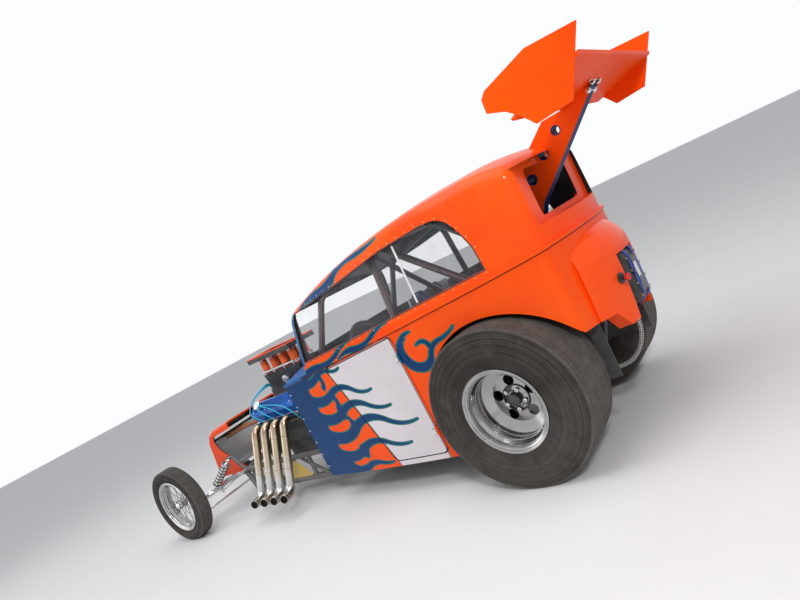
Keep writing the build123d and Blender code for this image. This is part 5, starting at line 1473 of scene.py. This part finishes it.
class Engine(Maker):
    """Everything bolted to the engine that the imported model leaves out."""

    def build(self) -> None:
        """Adds every piece."""
        for name, side in BOTH_SIDES:
            self.cover(name, side)
            self.leads(name, side)
            self.header(name, side)
        self.stacks()
        self.tray()
        self.front()
        self.bolts()
        self.cooling()

    def cover(self, name: str, side: int) -> None:
        """Adds the ribs, screws and cap of one rocker cover and the bolts of its head and header."""
        up, out = Vector((side * SLANT, 0.0, SLANT)), Vector((side * SLANT, 0.0, -SLANT))
        ribs = [Spot(bank(0.4095, v, side, ENGINE_Y), up) for v in (-0.033, -0.020, -0.007, 0.006, 0.019)]
        ribbing = Repeats(Item.SLAT, (0.462, 0.005, 0.009))
        ribbing.done("cover_ribs_" + name, ribs, self.shop.get("engine_blue"), bevel=0.001)
        bolts = [Spot(bank(0.3335, v, side, ENGINE_Y + y), up) for v in (-0.072, 0.0745)
                 for y in (-0.23, -0.168, -0.056, 0.056, 0.168, 0.23)]
        self.heads("head_bolts_" + name, bolts, 0.013, 0.009, "chrome")
        screws = [Spot(bank(0.4095, 0.0295, side, ENGINE_Y + y), up) for y in (-0.21, -0.07, 0.07, 0.21)]
        self.heads("cover_screws_" + name, screws, 0.011, 0.007, "chrome")
        cap = [(0.0, 0.0), (0.0, 0.027), (0.016, 0.027), (0.018, 0.031), (0.032, 0.031), (0.036, 0.026), (0.036, 0.0)]
        self.turned("cover_cap_" + name, [(bank(0.408, -0.008, side, ENGINE_Y - 0.150), up, cap)], 32, "chrome")
        flange = [Spot(bank(u, 0.088, side, y), out) for y in STACK_YS for u in (0.252, 0.318)]
        self.heads("header_bolts_" + name, flange, 0.013, 0.010, "chrome")

    def leads(self, name: str, side: int) -> None:
        """Adds the plug leads of one bank and their boots."""
        out = Vector((side * SLANT, 0, -SLANT))
        paths, boots = [], []
        for i, y in enumerate(STACK_YS):
            plug = bank(0.262, 0.080, side, y + 0.054)
            over = 0.016 * i
            paths.append(smooth([
                at(side * 0.030, ENGINE_Y - 0.252, 0.752), at(side * 0.070, ENGINE_Y - 0.248, 0.800 + over / 3),
                bank(0.428, -0.062 + over / 2, side, ENGINE_Y - 0.225), bank(0.424, 0.045, side, y - 0.05),
                bank(0.360, 0.098, side, y + 0.045), bank(0.290, 0.118, side, y + 0.054), plug], 6))
            boots.append([plug + out * -0.004, plug + out * 0.034])
        self.tubes("plug_leads_" + name, paths, 0.0042, "cyan", sides=8)
        self.tubes("plug_boots_" + name, boots, 0.0085, "black", sides=10)

    def header(self, name: str, side: int) -> None:
        """Adds the bands, outlet rims and soot of one side's four pipes."""
        bands, rims, soot = [], [], []
        for y in STACK_YS:
            top, foot = at(side * 0.392, y, 0.600), at(side * 0.530, y - 0.095, 0.150)
            end = at(side * 0.636, y - 0.095 + 0.046, 0.158)
            run, way = foot - top, end - foot
            bands += [(top + run * share, run, 0.0282) for share in (0.22, 0.66)]
            bands.append((end - way.normalized() * 0.030, way, 0.0282))
            rims.append((end - way.normalized() * 0.002, way, 0.0272))
            soot.append((end, way, [(-0.028, 0.0), (-0.028, 0.0258), (-0.004, 0.0258)]))
        self.rings("pipe_bands_" + name, bands, 0.0019, "weld", steps=28)
        self.rings("pipe_rims_" + name, rims, 0.0018, "chrome", steps=28)
        self.turned("pipe_soot_" + name, soot, 24, "soot")

    def stacks(self) -> None:
        """Adds the clamps and bands, the fuel rails and lines and the throttle shafts of the injector stacks."""
        places = [(x, y) for x in (-0.062, 0.062) for y in STACK_YS]
        clamps = [(at(x, y, z), UPWARD, 0.0272) for x, y in places for z in (0.893, 0.905, 0.986, 0.996)]
        self.rings("stack_clamps", clamps, 0.0022, "chrome", steps=28)
        band = [(0.893, 0.0270), (0.893, 0.0282), (0.905, 0.0282), (0.905, 0.0270)]
        self.turned("stack_bands", [(at(x, y, 0.0), UPWARD, band) for x, y in places], 28, "chrome", closed=True)
        screws = [Spot(at(x + math.copysign(0.031, x), y, z), math.copysign(1, x) * LEFTWARD)
                  for x, y in places for z in (0.899, 0.991)]
        self.heads("stack_clamp_screws", screws, 0.008, 0.010, "chrome")
        rails = [[at(s * 0.098, y, 0.905) for y in (-2.160, -1.780)] for s in (1, -1)]
        self.tubes("fuel_rails", rails, 0.0075, "alloy")
        lines = [route(5, (s * 0.098, y, 0.905), (s * 0.103, y + 0.010, 0.890), (s * 0.090, y + 0.012, 0.866),
                       (s * 0.080, y + 0.010, 0.850)) for s in (1, -1) for y in STACK_YS]
        self.tubes("fuel_lines", lines, 0.0036, "braid_steel", sides=8)
        shafts = [[at(s * 0.062, y, 0.872) for y in (-2.186, -1.748)] for s in (1, -1)]
        self.tubes("throttle_shafts", shafts, 0.005, "chrome")
        cap = [(-0.004, 0.0), (-0.004, 0.034), (0.006, 0.034), (0.008, 0.031), (0.008, 0.0)]
        caps = [(at(s * 0.079, ENGINE_Y, 0.800), Vector((s, 0.0, -0.18)), cap) for s in (1, -1)]
        self.turned("manifold_caps", caps, 32, "alloy")

    def tray(self) -> None:
        """Adds the edge and the wire mesh of the tray over the stacks."""
        corners = ((-0.131, -0.241), (0.131, -0.241), (0.131, 0.241), (-0.131, 0.241))
        edge = [at(x, ENGINE_Y + y, 1.036) for x, y in corners]
        self.tubes("tray_edge", [[a, b] for a, b in zip(edge, edge[1:] + edge[:1])], 0.0048, "orange")
        columns, rows = [-0.12 + 0.012 * k for k in range(21)], [-0.228 + 0.012 * k for k in range(39)]
        mesh = [[at(x, ENGINE_Y + y, 1.024) for y in (-0.236, 0.236)] for x in columns]
        mesh += [[at(x, ENGINE_Y + y, 1.025) for x in (-0.126, 0.126)] for y in rows]
        self.tubes("tray_mesh", mesh, 0.0011, "chrome", sides=5)

    def front(self) -> None:
        """Adds the belt, the pulley rings and the magneto's towers."""
        belt_y = PLATE_Y - 0.070
        half = 0.018 * BACKWARD
        rows = []
        for k in range(64):
            turn = math.tau * k / 64
            radius, middle = CRANK_PULLEY if math.sin(turn) < 0 else PUMP_PULLEY
            away = Vector((math.cos(turn), 0, math.sin(turn)))
            inner = at(radius * math.cos(turn), belt_y, middle + radius * math.sin(turn))
            outer = inner + away * 0.004
            rows.append([inner - half, inner + half, outer + half, outer - half])
        shape = Shape()
        shape.grid(rows, round_rows=True)
        shape.done("drive_belt", self.shop.get("slick"))
        rings = [(at(0, belt_y + d, CRANK_Z), -BACKWARD, r)
                 for d, r in ((-0.024, 0.079), (0.024, 0.079), (-0.026, 0.030), (-0.026, 0.058))]
        self.rings("pulley_rings", rings, 0.0035, "polished", steps=48)
        turns = (math.tau * k / 8 for k in range(8))
        towers = [Spot(at(0.030 * math.cos(turn), ENGINE_Y - 0.252 + 0.030 * math.sin(turn), 0.764), UPWARD)
                  for turn in turns]
        self.heads("magneto_towers", towers, 0.011, 0.016, "black", item=Item.DOME)

    def bolts(self) -> None:
        """Adds the bolts of the motor plates and of the bell housing."""
        bolts = [Spot(at(s * x, y, z), way * BACKWARD) for s in (1, -1)
                 for y, way in ((PLATE_Y, -1), (ENGINE_Y + 0.286, 1))
                 for x, z in ((0.265, 0.335), (0.265, 0.365), (0.16, 0.50))]
        self.heads("plate_bolts", bolts, 0.020, 0.014, "chrome")
        turns = (math.radians(15 + 30 * k) for k in range(12))
        ring = [Spot(at(0.176 * math.cos(turn), ENGINE_Y + 0.290, CRANK_Z + 0.176 * math.sin(turn)), BACKWARD)
                for turn in turns]
        self.heads("bell_bolts", ring, 0.014, 0.010, "chrome")

    def cooling(self) -> None:
        """Adds the radiator's fins and tanks, its hoses, their clamps and a fitting."""
        fins = [Spot(at(-0.240 + 0.0069 * k, -2.9515, 0.430), -BACKWARD, UPWARD) for k in range(71)]
        Repeats(Item.SLAT, (0.212, 0.0016, 0.006)).done("radiator_fins", fins, self.shop.get("alloy"))
        tanks = [[at(x, -2.925, z) for x in (-0.245, 0.245)] for z in (0.548, 0.312)]
        self.tubes("radiator_tanks", tanks, 0.027, "alloy", sides=20)
        top = route(8, (0.150, -2.900, 0.545), (0.150, -2.840, 0.552), (0.120, -2.660, 0.575), (0.050, -2.470, 0.570),
                    (0.020, -2.372, 0.530))
        low = route(8, (-0.150, -2.900, 0.325), (-0.150, -2.840, 0.330), (-0.120, -2.650, 0.380),
                    (-0.060, -2.460, 0.470), (-0.020, -2.372, 0.520))
        self.tubes("radiator_hoses", [top, low], 0.019, "copper_hose", sides=16)
        clamps = [(p[i], p[i + 1] - p[i], 0.0195) for p in (top, low) for i in (2, len(p) - 4)]
        self.rings("hose_clamps", clamps, 0.0022, "chrome", steps=28)
        fitting = [(-0.022, 0.0), (-0.022, 0.021), (-0.012, 0.024), (0.012, 0.024), (0.022, 0.021), (0.022, 0.0)]
        self.turned("hose_fitting", [(at(0.085, -2.590, 0.577), Vector((0.35, 0.9, -0.1)), fitting)], 6, "cyan")


class Running(Maker):
    """Springs, brakes, lines and joints of the running gear and frame."""

    def build(self) -> None:
        """Adds every piece."""
        self.springs()
        self.brakes()
        self.lines()
        self.joints()

    def springs(self) -> None:
        """Winds a spring round each of the four dampers and adds its seats."""
        for name, sign in BOTH_SIDES:
            rear = ("rear", at(sign * 0.205, 0.0863, 0.330), at(sign * 0.205, 0.120, 0.5257), 0.0340, 0.0052)
            front = ("front", at(sign * 0.420, -2.9727, 0.229), at(sign * 0.3173, -2.740, 0.420), 0.0280, 0.0042)
            for place, low, high, radius, wire in (rear, front):
                run = high - low
                side = run.orthogonal().normalized()
                other = run.normalized().cross(side)
                path = []
                for k in range(168):
                    turn = math.tau * k / 24
                    away = side * math.cos(turn) + other * math.sin(turn)
                    path.append(low + run * (0.215 + 0.59 * k / 167) + away * radius)
                self.tubes(f"spring_{place}_{name}", [path], wire, "spring", sides=8)
                seat = [(-0.004, 0.0), (-0.004, radius + 0.006), (0.004, radius + 0.006), (0.004, 0.0)]
                seats = [(low + run * share, run, seat) for share in (0.20, 0.82)]
                self.turned(f"spring_seats_{place}_{name}", seats, 28, "alloy", bevel=0.0008)

    def brakes(self) -> None:
        """Adds a disc and a caliper inboard of each rear wheel, and the bolts of the axle's covers."""
        hub = at(0.0, 0.0, REAR_TYRE_R)
        disc = [(0.251, 0.040), (0.251, 0.130), (0.261, 0.130), (0.261, 0.040)]
        for name, sign in BOTH_SIDES:
            near, far = sorted((sign * 0.232, sign * 0.280))
            caliper = Shape()
            caliper.block(hub + Vector((near, 0.085, 0.020)), hub + Vector((far, 0.150, 0.110)))
            caliper.done("caliper_" + name, self.shop.get("black"), bevel=0.006)
            rounds = [(hub, sign * LEFTWARD, disc)]
            self.turned("brake_disc_" + name, rounds, 64, "chrome", bevel=0.0008, closed=True)
        turns = [math.tau * k / 10 for k in range(10)]
        cover = [Spot(hub + Vector((s * 0.087, 0.105 * math.sin(turn), 0.105 * math.cos(turn))), s * LEFTWARD)
                 for s in (1, -1) for turn in turns]
        self.heads("axle_bolts", cover, 0.013, 0.009, "chrome")

    def lines(self) -> None:
        """Adds the brake lines along the frame and their clips."""
        for name, sign in BOTH_SIDES:
            path = route(4, *((sign * 0.2670, y, 0.120) for y in (-2.520, -2.100, -1.700, -1.300, -0.900, -0.500)))
            self.tubes("brake_line_" + name, [path], 0.0032, "copper_hose" if sign > 0 else "braid_steel", sides=8)
            clips = [(at(sign * 0.290, y, 0.120), BACKWARD, 0.0205) for y in (-2.40, -2.10, -1.75, -1.30, -0.95, -0.62)]
            self.rings("frame_clips_" + name, clips, 0.0024, "black", steps=28)

    def joints(self) -> None:
        """Adds the nuts, bolts and caps of the rods, kingpins and gussets, and the propshaft's loop."""
        nuts = []
        for sign in (1, -1):
            pivot = at(sign * 0.324, -2.620, 0.292)
            for z in (0.259, 0.181):
                low = at(sign * 0.338, FRONT_AXLE_Y + 0.014, z)
                nuts += [(low.lerp(pivot, share), pivot - low, 0.0095) for share in (0.16, 0.84)]
        self.rings("rod_nuts", nuts, 0.003, "chrome", steps=20)
        bolts = [Spot(at(sign * 0.337, -2.620, 0.292), sign * LEFTWARD) for sign in (1, -1)]
        self.heads("pivot_bolts", bolts, 0.022, 0.012, "chrome")
        nuts = [(at(x, FRONT_AXLE_Y + 0.120, 0.146), LEFTWARD, 0.0095) for x in (-0.525, -0.515, 0.515, 0.525)]
        self.rings("tie_rod_nuts", nuts, 0.003, "chrome", "tie_rod", 20)
        for name, sign in BOTH_SIDES:
            pins = [Spot(at(sign * 0.560, FRONT_AXLE_Y, z), way * UPWARD) for z, way in ((0.2600, 1), (0.1705, -1))]
            self.heads("kingpin_caps_" + name, pins, 0.036, 0.010, "chrome", "knuckle_" + name, Item.DOME)
        loop = [(at(0.0, y, 0.405), BACKWARD, 0.062) for y in (-0.930, -0.905)]
        self.rings("shaft_loop", loop, 0.005, "frame", steps=40)
        places = ((-2.175, 0.155), (-2.060, 0.155), (-1.945, 0.155), (-2.035, 0.255), (-2.012, 0.255))
        gusset = [Spot(at(s * 0.3055, y, z), s * LEFTWARD) for s in (1, -1) for y, z in places]
        self.heads("gusset_bolts", gusset, 0.010, 0.006, "chrome")


STRAP_THICK = 0.003


class Cabin(Maker):
    """Gauges, harness and controls inside the body."""

    def build(self) -> None:
        """Adds every piece."""
        self.gauges()
        self.harness()
        self.controls()

    def gauges(self) -> None:
        """Sets five blank dials into the dash panel."""
        rims, faces, needles = [], [], []
        for x, radius, z in ((-0.300, 0.034, 0.795), (-0.205, 0.034, 0.795), (0.0, 0.048, 0.828), (0.205, 0.034, 0.795),
                             (0.300, 0.034, 0.795)):
            middle = at(x, -1.2253, z)
            rims.append((middle, BACKWARD, [(-0.002, radius), (-0.002, radius + 0.004), (0.010, radius + 0.004),
                                            (0.012, radius + 0.001), (0.010, radius - 0.002)]))
            faces.append((middle, BACKWARD, [(-0.001, 0.0), (-0.001, radius), (0.005, radius), (0.005, 0.0)]))
            turn = 1.1 + 3.0 * x
            tip = middle + Vector((math.sin(turn), 0, math.cos(turn))) * radius * 0.8
            needles.append([middle + BACKWARD * 0.007, tip + BACKWARD * 0.007])
        self.turned("gauge_rims", rims, 36, "chrome", closed=True)
        self.turned("gauge_faces", faces, 36, "black")
        self.tubes("gauge_needles", needles, 0.0012, "red", sides=6)

    def strap(self, shape: Shape, path: Path, side: Vector, width: float) -> None:
        """Adds one flat strap that keeps its width along one direction."""
        rows = []
        for i, place in enumerate(path):
            run = (path[min(i + 1, len(path) - 1)] - path[max(i - 1, 0)]).normalized()
            across = (side - run * side.dot(run)).normalized() * width / 2
            up = run.cross(across).normalized() * STRAP_THICK / 2
            rows.append([place - across - up, place + across - up, place + across + up, place - across + up])
        shape.bar(rows)

    def harness(self) -> None:
        """Lays the shoulder and lap straps over the seat and closes them with a buckle."""
        straps = Shape()
        for s in (1, -1):
            shoulder = route(8, (s * 0.085, -0.520, 0.925), (s * 0.085, -0.545, 0.990), (s * 0.085, -0.590, 0.985),
                             (s * 0.080, -0.604, 0.930), (s * 0.070, -0.606, 0.780), (s * 0.045, -0.622, 0.640),
                             (s * 0.014, -0.665, 0.578))
            lap = route(8, (s * 0.212, -0.640, 0.640), (s * 0.190, -0.690, 0.625), (s * 0.120, -0.715, 0.586),
                        (s * 0.020, -0.700, 0.574))
            self.strap(straps, shoulder, LEFTWARD, 0.050)
            self.strap(straps, lap, Vector((0, 0.6, 0.8)), 0.048)
        low = route(6, (0.0, -0.780, 0.556), (0.0, -0.740, 0.562), (0.0, -0.690, 0.572))
        self.strap(straps, low, LEFTWARD, 0.044)
        straps.done("harness_straps", self.shop.get("belt_blue"))
        buckle = [(-0.004, 0.0), (-0.004, 0.034), (0.008, 0.034), (0.011, 0.029), (0.011, 0.0)]
        rounds = [(at(0.0, -0.690, 0.574), Vector((0.0, -0.35, 0.94)), buckle)]
        self.turned("harness_buckle", rounds, 32, "chrome")

    def controls(self) -> None:
        """Adds the gear lever and its knob, and the steering wheel's boss and grips."""
        lever = Shape()
        lever.tube(route(6, (-0.150, -1.100, 0.170), (-0.150, -1.080, 0.380), (-0.165, -1.060, 0.520)), 0.0085, 12)
        lever.block(at(-0.200, -1.210, 0.174), at(-0.100, -1.030, 0.260))
        lever.done("gear_lever", self.shop.get("black"), bevel=0.002)
        turns = (math.pi * k / 12 for k in range(13))
        ball = [(0.026 * math.cos(turn), 0.026 * math.sin(turn)) for turn in turns]
        self.turned("lever_knob", [(at(-0.165, -1.060, 0.540), UPWARD, ball)], 24, "orange")
        column = Vector((0.0, 0.29, 0.115)).normalized()
        middle, other = at(0.0, -1.120, 0.815), column.cross(LEFTWARD)
        boss = [(-0.002, 0.0), (-0.002, 0.036), (0.010, 0.034), (0.014, 0.024), (0.014, 0.0)]
        self.turned("wheel_boss", [(middle, column, boss)], 32, "alloy", "steering_wheel")
        grips = []
        for start in (20, 200):
            turns = (math.radians(start + 5 * k) for k in range(29))
            grips.append([middle + (LEFTWARD * math.cos(turn) + other * math.sin(turn)) * 0.150 for turn in turns])
        self.tubes("wheel_grips", grips, 0.0135, "seat", "steering_wheel", 14)


@dataclass
class Stage:
    """The floor, the light and the camera."""

    lens: float = 26.70
    turn: float = 128.583
    rise: float = 3.578
    roll: float = -26.58
    stand: tuple[float, float, float] = (2.8016, 2.65545, 1.2106)
    floor_size: float = 60.0

    def build(self) -> None:
        """Sets up the stage."""
        self.make_floor()
        self.make_world()
        self.make_lamps()
        self.make_camera()
        bpy.context.scene.view_settings.view_transform = "Standard"

    def show_through(self, graph: Graph) -> Socket:
        """Gives 1 for rays that come from the camera, a reflection or a clear sheet."""
        path = graph.add("ShaderNodeLightPath").node
        seen = graph.math("MAXIMUM", path.outputs["Is Camera Ray"], path.outputs["Is Glossy Ray"])
        return graph.math("MAXIMUM", seen, path.outputs["Is Transmission Ray"])

    def make_floor(self) -> None:
        """Lays the pale floor."""
        half = self.floor_size / 2
        mesh = bpy.data.meshes.new("floor")
        mesh.from_pydata([(-half, -half, 0), (half, -half, 0), (half, half, 0), (-half, half, 0)], [], [(0, 1, 2, 3)])
        material, graph, shader, place = new_material("floor_pale")
        patches = graph.add("ShaderNodeTexNoise", {"Vector": place, "Scale": 3.0, "Detail": 6.0})
        colour = graph.mix(patches, (0.74, 0.74, 0.75), (0.78, 0.78, 0.79))
        graph.feed(shader, {"Base Color": colour, "Roughness": 0.75})
        mesh.materials.append(material)
        new_object("floor", mesh)

    def make_world(self) -> None:
        """Makes the even light all round and the white behind the car."""
        world = bpy.data.worlds.new("studio")
        world.use_nodes = True
        bpy.context.scene.world = world
        graph = Graph(world.node_tree)
        strength = graph.math("MULTIPLY_ADD", self.show_through(graph), 0.50, 0.50)
        graph.feed(world.node_tree.nodes["Background"], {"Color": (0.97, 0.98, 1.0, 1.0), "Strength": strength})

    def make_lamps(self) -> None:
        """Hangs three soft lamps: overhead, at the left rear and at the right."""
        middle = Vector((0.0, 0.4, 0.7))
        for name, place, size, power in (("lamp_top", (1.0, 0.5, 5.0), 4.0, 120.0),
                                         ("lamp_rear", (4.6, 5.0, 4.4), 0.9, 190.0),
                                         ("lamp_front", (3.5, -4.5, 2.6), 3.0, 40.0)):
            light = bpy.data.lights.new(name, "AREA")
            light.size = size
            light.energy = power
            lamp = new_object(name, light)
            lamp.location = place
            lamp.rotation_mode = "QUATERNION"
            lamp.rotation_quaternion = (middle - Vector(place)).to_track_quat("-Z", "Y")

    def make_camera(self) -> None:
        """Places the camera where the photograph was taken from, tilted as it was."""
        data = bpy.data.cameras.new("camera")
        data.lens = self.lens
        data.sensor_width = 36.0
        data.clip_start = 0.05
        data.clip_end = 200.0
        camera = new_object("camera", data)
        a, e, r = (math.radians(v) for v in (self.turn, self.rise, self.roll))
        back = Vector((math.sin(a) * math.cos(e), -math.cos(a) * math.cos(e), math.sin(e)))
        right = Vector((math.cos(a), math.sin(a), 0.0))
        up = back.cross(right)
        right, up = right * math.cos(r) + up * math.sin(r), up * math.cos(r) - right * math.sin(r)
        camera.matrix_world = Matrix(((right.x, up.x, back.x, self.stand[0]), (right.y, up.y, back.y, self.stand[1]),
                                      (right.z, up.z, back.z, self.stand[2]), (0.0, 0.0, 0.0, 1.0)))
        bpy.context.scene.camera = camera


def main() -> None:
    """Builds the stage, then dresses the car piece by piece."""
    logging.basicConfig(level=logging.INFO, format="%(name)s: %(message)s")
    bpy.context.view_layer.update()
    random.seed(SEED)
    Stage().build()
    shop = Workshop()
    dress_nodes(shop)
    for group in (Wheels, Body, Wing, Engine, Running, Cabin, Parachute):
        group(shop).build()


if __name__ == "__main__":
    main()
